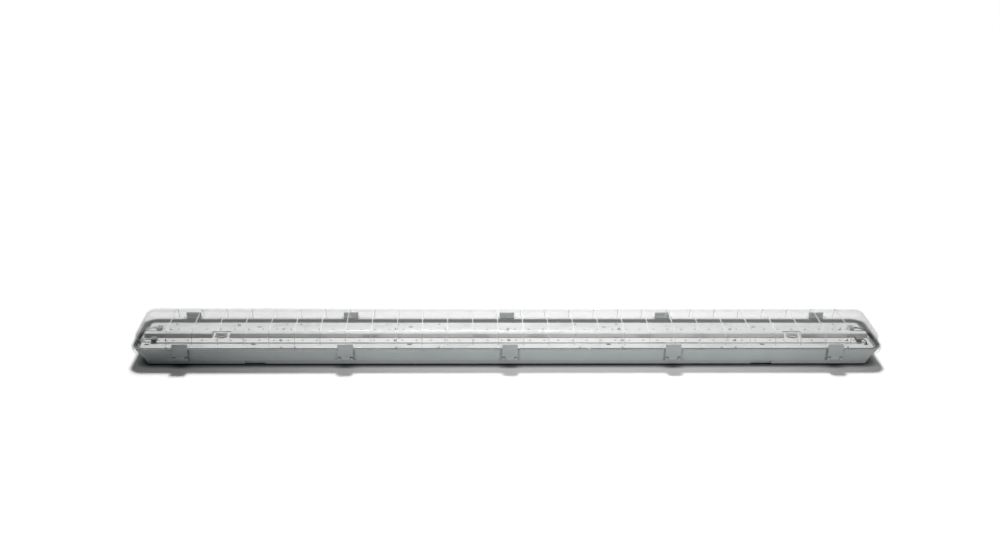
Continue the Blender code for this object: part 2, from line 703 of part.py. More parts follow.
def make_knobs(material):
    """A disc with a grip bar on top, and a shank that turns in the housing's post."""
    for side, end in ((-1, "left"), (1, "right")):
        bm = bmesh.new()
        profile = [
            (0.0, KNOB_BASE),
            (KNOB_RADIUS - EDGE_BREAK, KNOB_BASE),
            (KNOB_RADIUS, KNOB_BASE - EDGE_BREAK),
            (KNOB_RADIUS, 0.0),
            (KNOB_SHANK_RADIUS, 0.0),
            (KNOB_SHANK_RADIUS, -KNOB_SHANK_DEPTH),
            (0.0, -KNOB_SHANK_DEPTH),
        ]
        add_turned(bm, (0.0, 0.0, 0.0), (0, 0, 1), profile, FINE_SIDES * 2)
        knob = make_object(f"tray_knob_{end}", bm, parts, material)
        knob.location = (side * knob_x, 0.0, tray_top + FIT_GAP)
        bm = bmesh.new()
        reach = KNOB_RADIUS - KNOB_GRIP_MARGIN
        top = KNOB_BASE + KNOB_GRIP_HEIGHT
        add_box(bm, (-reach, -KNOB_GRIP_WIDTH / 2, KNOB_BASE / 2), (reach, KNOB_GRIP_WIDTH / 2, top))
        grip = make_object(f"knob_grip_{end}", bm, cutters)
        grip.location = knob.location
        carve(knob, grip, "UNION")


def make_driver(driver_material, screw_material):
    """A slim sealed driver that hangs under the tray by two ears."""
    top = tray_under - FIT_GAP
    reach = DRIVER_LENGTH / 2 + DRIVER_EAR_LENGTH
    bm = bmesh.new()
    low = (-DRIVER_LENGTH / 2, -DRIVER_WIDTH / 2, top - driver_height)
    add_box(bm, low, (DRIVER_LENGTH / 2, DRIVER_WIDTH / 2, top))
    driver = make_object("driver", bm, parts, driver_material)
    bm = bmesh.new()
    for side in (-1, 1):
        inner, outer = sorted((side * (DRIVER_LENGTH / 2 - OVERLAP), side * reach))
        add_box(bm, (inner, -DRIVER_WIDTH / 2, top - DRIVER_EAR_THICKNESS), (outer, DRIVER_WIDTH / 2, top))
    carve(driver, make_object("driver_ears", bm, cutters), "UNION")
    bm = bmesh.new()
    for _, x, y in driver_screw_places():
        ends = ((x, y, top - DRIVER_EAR_THICKNESS - OVERRUN), (x, y, top + OVERRUN))
        add_cylinder(bm, *ends, SCREW_SHANK_RADIUS + FIT_GAP, COARSE_SIDES)
    carve(driver, make_object("driver_cuts", bm, cutters))
    head_base = top - DRIVER_EAR_THICKNESS - FIT_GAP
    grip = tray_top - head_base
    make_screws(driver_screw_places(), head_base, -1, grip, screw_material)


def make_terminal_block(material):
    """The mains terminal block on the housing floor, with six clamp screws in its top."""
    base = HOUSING_FLOOR + FIT_GAP
    half = TERMINAL_LENGTH / 2
    bm = bmesh.new()
    low = (terminal_x - half, -TERMINAL_WIDTH / 2, base)
    add_box(bm, low, (terminal_x + half, TERMINAL_WIDTH / 2, base + TERMINAL_HEIGHT))
    block = make_object("terminal_block", bm, parts, material)
    bm = bmesh.new()
    for x in (terminal_x - half / 2, terminal_x + half / 2):
        for index in (-1, 0, 1):
            y = index * TERMINAL_WIDTH / 3
            top = base + TERMINAL_HEIGHT
            ends = ((x, y, top - OVERLAP), (x, y, top + TERMINAL_SCREW_HEIGHT))
            add_cylinder(bm, *ends, TERMINAL_SCREW_RADIUS, COARSE_SIDES)
    carve(block, make_object("terminal_screws", bm, cutters), "UNION")


def make_entries(plug_material, washer_material):
    """Both cable entries: a plug through the boss, a washer under its head and a nut on its tail."""
    nut_inner = entry_inner_x - FIT_GAP - ENTRY_NUT_THICKNESS
    head_inner = entry_face_x + FIT_GAP + ENTRY_WASHER_THICKNESS + FIT_GAP
    shank = ENTRY_BORE_RADIUS - FIT_GAP
    for side, end in ((-1, "left"), (1, "right")):
        axis = (side, 0, 0)
        centre = (0.0, 0.0, entry_z)
        bm = bmesh.new()
        profile = [
            (0.0, head_inner + PLUG_HEAD_THICKNESS),
            (plug_head_radius - EDGE_BREAK, head_inner + PLUG_HEAD_THICKNESS),
            (plug_head_radius, head_inner + PLUG_HEAD_THICKNESS - EDGE_BREAK),
            (plug_head_radius, head_inner),
            (shank, head_inner),
            (shank, nut_inner - PLUG_TAIL),
            (0.0, nut_inner - PLUG_TAIL),
        ]
        add_turned(bm, centre, axis, profile, FINE_SIDES)
        make_object(f"entry_plug_{end}", bm, parts, plug_material)
        bm = bmesh.new()
        add_tube(bm, centre, axis, ENTRY_BORE_RADIUS, plug_head_radius, entry_face_x + FIT_GAP,
                 ENTRY_WASHER_THICKNESS, FINE_SIDES)
        make_object(f"entry_washer_{end}", bm, parts, washer_material)
        bm = bmesh.new()
        add_tube(bm, centre, axis, ENTRY_BORE_RADIUS, ENTRY_BORE_RADIUS + ENTRY_NUT_WALL, nut_inner,
                 ENTRY_NUT_THICKNESS, FINE_SIDES)
        make_object(f"entry_nut_{end}", bm, parts, plug_material)


def add_tube(bm, centre, axis, bore, outside, start, length, sides):
    """A short tube about an axis, from start to start + length along it."""
    end = start + length
    profile = [(bore, start), (outside, start), (outside, end), (bore, end), (bore, start)]
    add_turned(bm, centre, axis, profile, sides)


def smooth_route(points):
    """Points on a Catmull-Rom curve through a lead's own points."""
    ends = [points[0] * 2 - points[1], *points, points[-1] * 2 - points[-2]]
    route = []
    for before, start, end, after in zip(ends, ends[1:], ends[2:], ends[3:]):
        bend = 2 * before - 5 * start + 4 * end - after
        twist = 3 * start - before - 3 * end + after
        for step in range(LEAD_STEPS):
            t = step / LEAD_STEPS
            route.append(start + ((end - before) * t + bend * t ** 2 + twist * t ** 3) / 2)
    return [*route, points[-1]]


def make_lead(name, points, material):
    """A round insulated lead along a smooth route."""
    route = smooth_route([Vector(point) for point in points])
    curve = bpy.data.curves.new(name, "CURVE")
    curve.dimensions = "3D"
    curve.bevel_depth = LEAD_RADIUS
    curve.bevel_resolution = 1
    curve.use_fill_caps = True
    curve.materials.append(material)
    spline = curve.splines.new("POLY")
    spline.points.add(len(route) - 1)
    for point, place in zip(spline.points, route):
        point.co = (*place, 1.0)
    parts.objects.link(bpy.data.objects.new(name, curve))


def make_leads(pale_material, dark_material):
    """The leads from the boards to the driver, and the supply and earth leads.

    The front right board's lead dips through the tray's end slot, and the others go over the tray's ends.
    """
    plug_z = board_top + FIT_GAP + CONNECTOR_HEIGHT / 2
    run_z = tray_under - LEAD_CLEARANCE * 3 - LEAD_RADIUS * 2
    driver_z = tray_under - driver_height / 2
    driver_face = DRIVER_LENGTH / 2 + FIT_GAP
    over_x = tray_half_length + LEAD_CLEARANCE + LEAD_RADIUS
    fan = DRIVER_WIDTH / 3
    for side, end, material in ((-1, "left", pale_material), (1, "right", dark_material)):
        for flank, row in ((-1, "front"), (1, "rear")):
            y = flank * row_offset
            dip_x, dip_y = over_x, y
            crest = (side * (board_length + BOARD_END_MARGIN / 2), y, plug_z)
            if (row, end) == ("front", "right"):
                dip_x, dip_y = end_slot_x, flank * cable_slot_y
                crest = (side * end_slot_x, flank * (cable_slot_y - LEAD_RADIUS * 3), plug_z)
            points = [
                (side * (board_length + FIT_GAP), y, plug_z),
                (side * (board_length + BOARD_END_MARGIN / 4), y, plug_z),
                crest,
                (side * dip_x, dip_y, tray_top + LEAD_RADIUS),
                (side * dip_x, dip_y, tray_under - LEAD_RADIUS),
                (side * (tray_half_length - BOARD_END_MARGIN), y, run_z),
                (side * (tray_half_length - BOARD_END_MARGIN * 2), y, run_z),
                (side * knob_x, y, run_z),
                (side * (knob_x + driver_face) / 2, y, run_z),
                (side * (driver_face + fan * 3), flank * fan, driver_z),
                (side * (driver_face + DRIVER_EAR_LENGTH), flank * fan, driver_z),
                (side * driver_face, flank * fan, driver_z),
            ]
            make_lead(f"board_lead_{row}_{end}", points, material)
    block_face = terminal_x + TERMINAL_LENGTH / 2 + FIT_GAP
    block_z = HOUSING_FLOOR + TERMINAL_HEIGHT / 2
    post_y = knob_bore_radius + KNOB_POST_WALL + LEAD_CLEARANCE + LEAD_RADIUS
    post_reach = KNOB_RADIUS * 2
    for flank, name in ((-1, "supply_lead_live"), (1, "supply_lead_neutral")):
        y = flank * TERMINAL_WIDTH / 4
        points = [
            (block_face, y, block_z),
            (block_face + LEAD_CLEARANCE * 3, y, block_z),
            (-knob_x - post_reach, flank * post_y, block_z),
            (-knob_x + post_reach, flank * post_y, block_z),
            (-driver_face - post_reach * 2, flank * fan / 2, driver_z),
            (-driver_face - DRIVER_EAR_LENGTH, flank * fan / 2, driver_z),
            (-driver_face, flank * fan / 2, driver_z),
        ]
        make_lead(name, points, dark_material)
    screw_edge = SCREW_SHANK_RADIUS + FIT_GAP + LEAD_RADIUS * 2
    under_z = tray_under - FIT_GAP - LEAD_RADIUS
    crossing_z = block_z + LEAD_CLEARANCE * 4
    points = [
        (block_face, 0.0, block_z),
        (block_face + LEAD_CLEARANCE * 3, 0.0, block_z),
        (block_face + post_reach, post_y / 2, crossing_z),
        (-knob_x - post_reach / 2, post_y + LEAD_CLEARANCE * 2, crossing_z),
        (-knob_x + post_reach / 2, earth_screw_y, under_z - LEAD_CLEARANCE),
        (earth_screw_x - screw_edge * 3, earth_screw_y, under_z),
        (earth_screw_x - screw_edge, earth_screw_y, under_z),
    ]
    make_lead("earth_lead", points, pale_material)


def latch_mesh(material):
    """The latch about its trunnions: a bowed plate with a hook and a finger tab, and a tongue with a barrel.

    Outline points are (outwards, up) from the trunnions' axis, for a latch on the -Y side.
    """
    hook_low = flange_top + FIT_GAP - pin_z
    hook_high = hook_low + HOOK_THICKNESS
    tab_top = flange_top + LATCH_TAB_HEIGHT - pin_z
    foot = LUG_RADIUS + LATCH_FOOT_RISE
    rise = hook_low - foot
    lean = lip_out - LATCH_FOOT_OUT
    inner = [(LATCH_FOOT_OUT + lean * out, foot + rise * up) for up, out in LATCH_BOW_SHARES]
    outer = [(out + LATCH_THICKNESS, up) for out, up in inner]
    plate = [
        (LATCH_FOOT_OUT, foot),
        (LATCH_FOOT_OUT + LATCH_THICKNESS, foot),
        *outer,
        (lip_out + LATCH_THICKNESS, hook_low),
        (lip_out + LATCH_TAB_THICKNESS, tab_top),
        (lip_out, tab_top),
        (lip_out, hook_high),
        (lip_out - HOOK_REACH, hook_high),
        (lip_out - HOOK_REACH, hook_low),
        (lip_out, hook_low),
        *reversed(inner),
    ]
    bm = bmesh.new()
    add_prism(bm, [(-out, up) for out, up in plate], -LATCH_WIDTH / 2, LATCH_WIDTH / 2)
    master = make_object("latch_master", bm, cutters)
    tongue_top = foot + LATCH_THICKNESS / 3
    inset = LATCH_THICKNESS / 8
    tongue = [
        (LATCH_FOOT_OUT + inset * 2, tongue_top),
        (LATCH_FOOT_OUT + LATCH_THICKNESS - inset * 2, tongue_top),
    ]
    for step in range(COARSE_SIDES + 1):
        angle = math.radians(-BARREL_SWEEP * step / COARSE_SIDES)
        tongue.append((BARREL_RADIUS * math.cos(angle), BARREL_RADIUS * math.sin(angle)))
    bm = bmesh.new()
    add_prism(bm, [(-out, up) for out, up in tongue], -LATCH_TONGUE_WIDTH / 2, LATCH_TONGUE_WIDTH / 2)
    carve(master, make_object("latch_tongue", bm, cutters), "UNION")
    bm = bmesh.new()
    add_cylinder(bm, (-lug_outer_x, 0.0, 0.0), (lug_outer_x, 0.0, 0.0), PIN_RADIUS, COARSE_SIDES)
    carve(master, make_object("latch_trunnions", bm, cutters), "UNION")
    bpy.context.view_layer.update()
    mesh = bpy.data.meshes.new_from_object(master.evaluated_get(bpy.context.evaluated_depsgraph_get()))
    mesh.name = "latch"
    mesh.materials.clear()
    mesh.materials.append(material)
    return mesh


def make_latches(material):
    """Ten latches that share one mesh, each with its origin on its trunnions."""
    mesh = latch_mesh(material)
    for name, x, side in latch_places():
        latch = bpy.data.objects.new(f"latch_{name}", mesh)
        latch.location = (x, side * pin_y, pin_z)
        latch.rotation_euler = (0.0, 0.0, 0.0 if side < 0 else math.pi)
        parts.objects.link(latch)


grey_plastic = make_material("grey_plastic", (0.36, 0.38, 0.38), 0.45)
latch_plastic = make_material("latch_plastic", (0.30, 0.31, 0.31), 0.40)
clear_plastic = make_material("clear_plastic", (0.90, 0.92, 0.93), 0.08, alpha=0.25)
foam_rubber = make_material("foam_rubber", (0.06, 0.06, 0.06), 0.90)
white_enamel = make_material("white_enamel", (0.82, 0.83, 0.84), 0.35)
board_mask = make_material("board_mask", (0.86, 0.86, 0.85), 0.40)
connector_nylon = make_material("connector_nylon", (0.70, 0.70, 0.68), 0.50)
zinc_steel = make_material("zinc_steel", (0.62, 0.62, 0.62), 0.30, metallic=1.0)
driver_case = make_material("driver_case", (0.78, 0.78, 0.77), 0.40)
pale_insulation = make_material("pale_insulation", (0.75, 0.75, 0.73), 0.45)
dark_insulation = make_material("dark_insulation", (0.03, 0.03, 0.03), 0.45)

make_housing(grey_plastic)
make_gasket(foam_rubber)
make_lens(clear_plastic)
make_tray(white_enamel)
make_boards(board_mask, connector_nylon)
tray_grip = tray_top + FIT_GAP - tray_under + SCREW_TAIL
make_screws(board_screw_places(), board_top + FIT_GAP, 1, tray_grip + FIT_GAP + BOARD_THICKNESS, zinc_steel)
make_screws(earth_screw_places(), tray_top + FIT_GAP, 1, tray_grip, zinc_steel)
make_knobs(grey_plastic)
make_driver(driver_case, zinc_steel)
make_terminal_block(connector_nylon)
make_leads(pale_insulation, dark_insulation)
make_entries(grey_plastic, foam_rubber)
make_latches(latch_plastic)
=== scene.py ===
# %% [markdown]
# A slim vapour tight light, lying on its back with its clear cover upwards. The CAD model gives every
# solid its place and its joints. This scene dresses it: a finer clear cover with its moulded ribs,
# rounded latches, small fittings that a plain solid leaves out, and a finish for every surface.
# Everything is in metres, in the CAD model's own frame: X along the light, Y across it, Z up.

# %% Load the CAD model
import json
import math

import bmesh
import bpy
import numpy as np
from mathutils import Matrix, Vector

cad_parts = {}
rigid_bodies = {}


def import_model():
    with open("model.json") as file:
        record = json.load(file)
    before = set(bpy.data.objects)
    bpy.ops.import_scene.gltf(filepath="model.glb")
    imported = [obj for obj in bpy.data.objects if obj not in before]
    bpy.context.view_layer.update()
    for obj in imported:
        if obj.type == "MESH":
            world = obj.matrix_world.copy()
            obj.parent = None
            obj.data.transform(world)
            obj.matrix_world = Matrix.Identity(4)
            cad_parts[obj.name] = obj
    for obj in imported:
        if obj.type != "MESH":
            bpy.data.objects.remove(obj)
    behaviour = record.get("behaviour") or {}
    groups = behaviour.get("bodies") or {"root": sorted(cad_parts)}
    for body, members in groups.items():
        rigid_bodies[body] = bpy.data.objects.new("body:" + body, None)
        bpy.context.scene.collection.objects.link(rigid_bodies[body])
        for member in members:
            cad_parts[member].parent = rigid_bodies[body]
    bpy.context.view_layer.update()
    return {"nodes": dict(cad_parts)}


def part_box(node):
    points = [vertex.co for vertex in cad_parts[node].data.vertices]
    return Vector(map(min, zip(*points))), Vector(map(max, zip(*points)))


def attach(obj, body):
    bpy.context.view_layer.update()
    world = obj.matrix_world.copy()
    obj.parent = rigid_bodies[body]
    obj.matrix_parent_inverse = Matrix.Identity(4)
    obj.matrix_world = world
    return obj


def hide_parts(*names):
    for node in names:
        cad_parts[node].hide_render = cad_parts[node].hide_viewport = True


for startup in list(bpy.data.objects):
    bpy.data.objects.remove(startup, do_unlink=True)
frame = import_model()

# %% [markdown]
# The camera comes first, because it decides how much each detail will show. A product photograph of a
# long light is usually taken from a few metres away with a long lens, so that both ends look alike. The
# view is written as a place, a turn to the right, a tilt down and a small roll, and the three directions
# that follow from them become the columns of the camera's matrix.

# %% Camera
MM = 0.001
CAMERA_PLACE = (-0.0950, -2.3524, 0.9812)
CAMERA_LENS_MM, SENSOR_MM = 53.118, 36.0
CAMERA_TURN, CAMERA_TILT, CAMERA_ROLL = np.radians([1.93, 19.73, 0.72])


def camera_axes(turn, tilt, roll):
    """Right, up and backwards: forwards is +Y turned and tilted down, and the roll mixes right with up."""
    forward = np.array([math.sin(turn) * math.cos(tilt), math.cos(turn) * math.cos(tilt), -math.sin(tilt)])
    level = np.array([math.cos(turn), -math.sin(turn), 0.0])
    upright = np.cross(level, forward)
    right = level * math.cos(roll) + upright * math.sin(roll)
    return np.stack([right, np.cross(right, forward), -forward])


camera = bpy.data.objects.new("camera", bpy.data.cameras.new("camera"))
bpy.context.scene.collection.objects.link(camera)
bpy.context.scene.camera = camera
camera.data.lens = CAMERA_LENS_MM
camera.data.sensor_width = SENSOR_MM
camera_matrix = np.eye(4)
camera_matrix[:3, :3] = camera_axes(CAMERA_TURN, CAMERA_TILT, CAMERA_ROLL).T
camera_matrix[:3, 3] = CAMERA_PLACE
camera.matrix_world = Matrix(camera_matrix.tolist())
print("camera stands", round(float(np.linalg.norm(CAMERA_PLACE)), 2), "m from the light")

# %% [markdown]
# The stage is a white sweep. A floor that is lit evenly renders white by itself, and the light that
# misses it leaves the soft shadow under the fitting. Such a bright floor would throw as much light back
# up and wash the shadows out, so Light Path tells its two jobs apart: the camera, also through the cover,
# sees a white floor and sky, and the rays that carry light meet a darker floor and a sky that is bright
# overhead and dark near the horizon, as under a studio's ceiling softbox. Close to the housing's foot the
# paper takes a deeper contact shade. An Ambient Occlusion node measures how open the sky is above each
# point, within 16 mm, and a power of that share scales the paper's tone.

# %% Floor and surroundings
FLOOR_HALF = 40.0
FLOOR_SEEN, FLOOR_BOUNCE = 1.00, 0.60
CONTACT_REACH, CONTACT_POWER, CONTACT_SAMPLES = 16 * MM, 1.6, 16
SKY_FOOT, SKY_TOP, SKY_LIGHT = 0.70, 0.95, 0.42


def add(tree, kind, inputs=None, **settings):
    """Adds one node: settings go on the node, and inputs set its sockets or link them to another's output."""
    node = tree.nodes.new(kind)
    for name, value in settings.items():
        setattr(node, name, value)
    for name, value in (inputs or {}).items():
        if isinstance(value, bpy.types.NodeSocket):
            tree.links.new(value, node.inputs[name])
        else:
            node.inputs[name].default_value = value
    return node


def seen_white(tree):
    """One for camera and transmitted rays, and zero for the rays that only carry light."""
    path = add(tree, "ShaderNodeLightPath").outputs
    return add(tree, "ShaderNodeMath", {0: path["Is Camera Ray"], 1: path["Is Transmission Ray"]},
               operation="MAXIMUM").outputs[0]


world = bpy.data.worlds.new("white_sweep")
world.use_nodes = True
tree = world.node_tree
tree.nodes.clear()
direction = add(tree, "ShaderNodeTexCoord").outputs["Generated"]
upwards = add(tree, "ShaderNodeSeparateXYZ", {0: direction}).outputs["Z"]
overhead = add(tree, "ShaderNodeMapRange", {
    "Value": upwards, "From Min": SKY_FOOT, "From Max": SKY_TOP, "To Max": SKY_LIGHT},
    interpolation_type="SMOOTHSTEP").outputs["Result"]
sky_level = add(tree, "ShaderNodeMapRange", {"Value": seen_white(tree), "To Min": overhead}).outputs["Result"]
sky = add(tree, "ShaderNodeBackground", {"Strength": sky_level})
add(tree, "ShaderNodeOutputWorld", {"Surface": sky.outputs[0]})
bpy.context.scene.world = world

floor_mesh = bpy.data.meshes.new("floor")
corners = FLOOR_HALF * np.array([[-1, -1, 0], [1, -1, 0], [1, 1, 0], [-1, 1, 0]])
floor_mesh.from_pydata(corners.tolist(), [], [(0, 1, 2, 3)])
floor = bpy.data.objects.new("floor", floor_mesh)
bpy.context.scene.collection.objects.link(floor)
paper = bpy.data.materials.new("white_sweep_paper")
paper.use_nodes = True
tree = paper.node_tree
tree.nodes.clear()
clean_tone = add(tree, "ShaderNodeMapRange", {
    "Value": seen_white(tree), "To Min": FLOOR_BOUNCE, "To Max": FLOOR_SEEN}).outputs["Result"]
open_share = add(tree, "ShaderNodeAmbientOcclusion", {"Distance": CONTACT_REACH},
                 samples=CONTACT_SAMPLES).outputs["AO"]
contact = add(tree, "ShaderNodeMath", {0: open_share, 1: CONTACT_POWER}, operation="POWER").outputs[0]
paper_tone = add(tree, "ShaderNodeMath", {0: clean_tone, 1: contact}, operation="MULTIPLY").outputs[0]
matt = add(tree, "ShaderNodeBsdfDiffuse", {"Color": paper_tone})
add(tree, "ShaderNodeOutputMaterial", {"Surface": matt.outputs[0]})
floor_mesh.materials.append(paper)
bpy.context.scene.view_settings.view_transform = "Standard"
print("floor and world are white to the camera; the sky lights the object at", SKY_LIGHT)

# %% [markdown]
# The shadow in front of the light has a fairly sharp lower edge about 3 cm out from the rim, and soft
# ends, as a large lamp behind and above the object throws. A sun has no position to get wrong, and its
# angle sets how soft that edge is. The side that faces the camera is brightest in its middle and falls
# off to both ends, and each latch throws a small shadow towards the middle. So two lamps with narrow
# soft-edged cones stand at the left and the right in front, and both aim near the middle. They stand very
# low, so that they light the upright faces and leave the floor's shadow dark. A third cone hangs over the
# middle. It lifts the middle of that shadow, but the rim stands out over the housing's foot and keeps its
# light off, so the foot still ends in a dark line.

# %% Lamps
SUN_HEIGHT, SUN_DISC, SUN_POWER = 47.0, 12.0, 3.85


def add_lamp(name, kind, power):
    """A new lamp of that kind and power in the scene."""
    lamp = bpy.data.objects.new(name, bpy.data.lights.new(name, kind))
    lamp.data.energy = power
    bpy.context.scene.collection.objects.link(lamp)
    return lamp


def add_cone_lamp(name, place, target, cone, radius, power):
    """A lamp at place that aims at target. Its cone, in degrees, fades from its middle to its edge."""
    lamp = add_lamp(name, "SPOT", power)
    lamp.data.spot_size = math.radians(cone)
    lamp.data.spot_blend = 1.0
    lamp.data.shadow_soft_size = radius
    lamp.location = place
    lamp.rotation_euler = (Vector(target) - Vector(place)).to_track_quat("-Z", "Y").to_euler()


key_sun = add_lamp("key_sun", "SUN", SUN_POWER)
key_sun.data.angle = math.radians(SUN_DISC)
key_sun.rotation_euler = (math.radians(SUN_HEIGHT - 90.0), 0.0, 0.0)
add_cone_lamp("front_lamp_left", (-1.6, -2.3, 0.36), (0.04, 0.0, 0.02), cone=25.0, radius=0.06, power=82.0)
add_cone_lamp("front_lamp_right", (1.6, -2.3, 0.36), (0.19, 0.0, 0.02), cone=25.0, radius=0.06, power=88.0)
add_cone_lamp("top_lamp", (0.12, 0.0, 2.6), (0.12, 0.0, 0.0), cone=27.0, radius=0.20, power=58.0)
bpy.context.view_layer.update()
print("key sun stands along", [round(value, 2) for value in key_sun.matrix_world.col[2][:3]])

# %% [markdown]
# Every finish is a node material. Its colours are written as sRGB hex, the way a paint chart gives them,
# and one function turns them to the linear numbers that the renderer adds up. A finish that is one flat
# colour looks like a toy, so each has at least a faint variation of tone, of gloss and of height at the
# real scale.

# %% Colour and finish helpers
def linear(hex_colour):
    """sRGB hex to linear light: values below 0.04045 divide by 12.92, and the rest follow the 2.4 power."""
    srgb = np.array([int(hex_colour[start:start + 2], 16) for start in (1, 3, 5)]) / 255.0
    light = np.where(srgb <= 0.04045, srgb / 12.92, ((srgb + 0.055) / 1.055) ** 2.4)
    return (*[float(value) for value in light], 1.0)


def start_material(name):
    """An empty node material, with the object's own coordinates in metres for its patterns."""
    material = bpy.data.materials.new(name)
    material.use_nodes = True
    tree = material.node_tree
    tree.nodes.clear()
    place = add(tree, "ShaderNodeTexCoord").outputs["Object"]
    return material, tree, place


def speckle(tree, place, size, detail=2.0, roughness=0.5):
    """Noise whose blotches are about size metres across, as a number from 0 to 1."""
    return add(tree, "ShaderNodeTexNoise", {"Vector": place, "Scale": 1.0 / size, "Detail": detail,
                                            "Roughness": roughness}).outputs["Fac"]


def between(tree, factor, low, high, start=0.3, end=0.7):
    """Runs from low to high as a pattern goes from start to end."""
    return add(tree, "ShaderNodeMapRange", {"Value": factor, "From Min": start, "From Max": end,
                                            "To Min": low, "To Max": high}).outputs["Result"]


def blend_colours(tree, factor, first, second):
    """Mixes two hex colours or colour outputs by a factor."""
    mixed = add(tree, "ShaderNodeMix", {"Factor": factor}, data_type="RGBA")
    for socket, colour in (("A_Color", first), ("B_Color", second)):
        target = next(item for item in mixed.inputs if item.identifier == socket)
        if isinstance(colour, str):
            target.default_value = linear(colour)
        else:
            tree.links.new(colour, target)
    return next(item for item in mixed.outputs if item.identifier == "Result_Color")


def finish_material(tree, shader, height=None, depth=0.0, edge=0.0):
    """Joins a bump of that depth in metres, and edges rounded to that radius, to the shader's normal."""
    normal = None
    if edge:
        normal = add(tree, "ShaderNodeBevel", {"Radius": edge}, samples=4).outputs["Normal"]
    if height is not None:
        bump = add(tree, "ShaderNodeBump", {"Height": height, "Distance": depth, "Strength": 1.0})
        if normal is not None:
            tree.links.new(normal, bump.inputs["Normal"])
        normal = bump.outputs["Normal"]
    if normal is not None:
        tree.links.new(normal, shader.inputs["Normal"])
    add(tree, "ShaderNodeOutputMaterial", {"Surface": shader.outputs[0]})


# %% [markdown]
# The housing of such a light is injection moulded in grey ABS or polycarbonate. The tool is spark eroded,
# so the surface has an even fine grain of about 0.3 mm and a satin gloss. That grain is finer than a
# pixel here, so it is drawn at 0.9 mm. A slow variation of tone stands for the flow of the plastic and
# for dust.

# %% Moulded grey housing
def moulded_grey(name, dark, light, gloss, grain, depth, edge=0.0):
    """Grey moulded plastic: slow blotches of tone, and a fine grain in its height that its gloss follows."""
    material, tree, place = start_material(name)
    cloud = speckle(tree, place, 45 * MM, 3.0)
    grit = speckle(tree, place, grain)
    tone = blend_colours(tree, between(tree, cloud, 0.0, 1.0), dark, light)
    shader = add(tree, "ShaderNodeBsdfPrincipled", {
        "Base Color": tone, "Roughness": between(tree, grit, *gloss), "IOR": 1.54})
    finish_material(tree, shader, grit, depth, edge)
    return material


housing_grey = moulded_grey("moulded_grey_abs", "#AFB5B6", "#B6BCBD", gloss=(0.46, 0.60),
                            grain=0.9 * MM, depth=0.012 * MM, edge=0.5 * MM)
latch_grey = moulded_grey("polished_grey_latch_plastic", "#A9AEAF", "#B0B5B6", gloss=(0.26, 0.36),
                          grain=1.6 * MM, depth=0.004 * MM)
fitting_grey = moulded_grey("moulded_grey_nylon", "#9EA3A3", "#A8ADAD", gloss=(0.42, 0.55),
                            grain=1.1 * MM, depth=0.010 * MM, edge=0.3 * MM)
print("grey mouldings:", housing_grey.name, latch_grey.name, fitting_grey.name)

# %% [markdown]
# The cover is clear polycarbonate, polished, with an index of 1.585. A path traced glass would bend what
# lies behind it and darken what lies under it, because light reaches the inside only by caustics. Mixing
# a Transparent shader with a glossy one by Fresnel keeps the inside lit, and still gives the white glare
# where the cover turns away. Such covers show little glare in a product photograph, so only a share of
# the Fresnel value is used. Seen along its wall the plastic is long to look through, so its tint deepens
# there. That grey edge tint is also painted shade: it stands in for the dark lines that refraction shows
# along the cover's walls and edges. The moulded ridges have a haze instead, which draws them as pale
# lines. A ray that asks whether a lamp is in sight, which Light Path calls a shadow ray, meets no gloss at
# all, so wall and ridges only tint the light that they let in.

# %% Clear cover plastic
POLYCARBONATE_IOR = 1.585
RIPPLE_SIZE, RIPPLE_DEPTH = 60 * MM, 0.05 * MM


def clear_plastic(name, face_tint, edge_tint_and_painted_refraction, edge_power, mirror_share, haze, roughness):
    """Clear moulding: a share of Fresnel plus haze mixes see-through with gloss; the tint grows edge on."""
    material, tree, place = start_material(name)
    # The grey mixed in at grazing angles is partly the plastic's own tint and partly painted shade for
    # refraction lines.
    facing = add(tree, "ShaderNodeLayerWeight", {"Blend": 0.5}).outputs["Facing"]
    depth = add(tree, "ShaderNodeMath", {0: facing, 1: edge_power}, operation="POWER").outputs[0]
    tint = blend_colours(tree, depth, face_tint, edge_tint_and_painted_refraction)
    through = add(tree, "ShaderNodeBsdfTransparent", {"Color": tint})
    wave = speckle(tree, place, RIPPLE_SIZE, 1.0)
    gloss = add(tree, "ShaderNodeBsdfPrincipled", {
        "Base Color": linear("#F4F6F6"), "IOR": POLYCARBONATE_IOR,
        "Roughness": between(tree, wave, roughness, roughness * 1.6)})
    ripple = add(tree, "ShaderNodeBump", {
        "Height": wave, "Distance": RIPPLE_DEPTH, "Strength": 1.0}).outputs["Normal"]
    tree.links.new(ripple, gloss.inputs["Normal"])
    fresnel = add(tree, "ShaderNodeFresnel", {"IOR": POLYCARBONATE_IOR, "Normal": ripple}).outputs[0]
    glare = add(tree, "ShaderNodeMath", {0: fresnel, 1: mirror_share, 2: haze},
                operation="MULTIPLY_ADD").outputs[0]
    lamp_ray = add(tree, "ShaderNodeLightPath").outputs["Is Shadow Ray"]
    share = add(tree, "ShaderNodeMath", {0: glare, 1: lamp_ray}, operation="SUBTRACT",
                use_clamp=True).outputs[0]
    mixed = add(tree, "ShaderNodeMixShader", {0: share, 1: through.outputs[0], 2: gloss.outputs[0]})
    add(tree, "ShaderNodeOutputMaterial", {"Surface": mixed.outputs[0]})
    return material


# The dark edge tint #7E8081 is partly painted shade: the grey lines that refraction shows at the cover's
# edges.
cover_clear = clear_plastic("clear_polycarbonate", "#F7F7F7", "#7E8081", edge_power=18.0,
                            mirror_share=0.15, haze=0.0, roughness=0.04)
ridge_clear = clear_plastic("clear_polycarbonate_ridge", "#FCFCFC", "#F6F7F7", edge_power=4.0,
                            mirror_share=0.2, haze=0.34, roughness=0.30)
print("cover materials:", cover_clear.name, ridge_clear.name)

# %% [markdown]
# Inside, the gear tray is sheet steel with a white powder enamel, whose surface has a faint orange peel
# with waves about 1.5 mm across. The light boards carry a white solder mask that is smoother and a little
# warmer, and their connectors are a mid grey nylon. Knobs, driver case and terminal block are light
# mouldings.

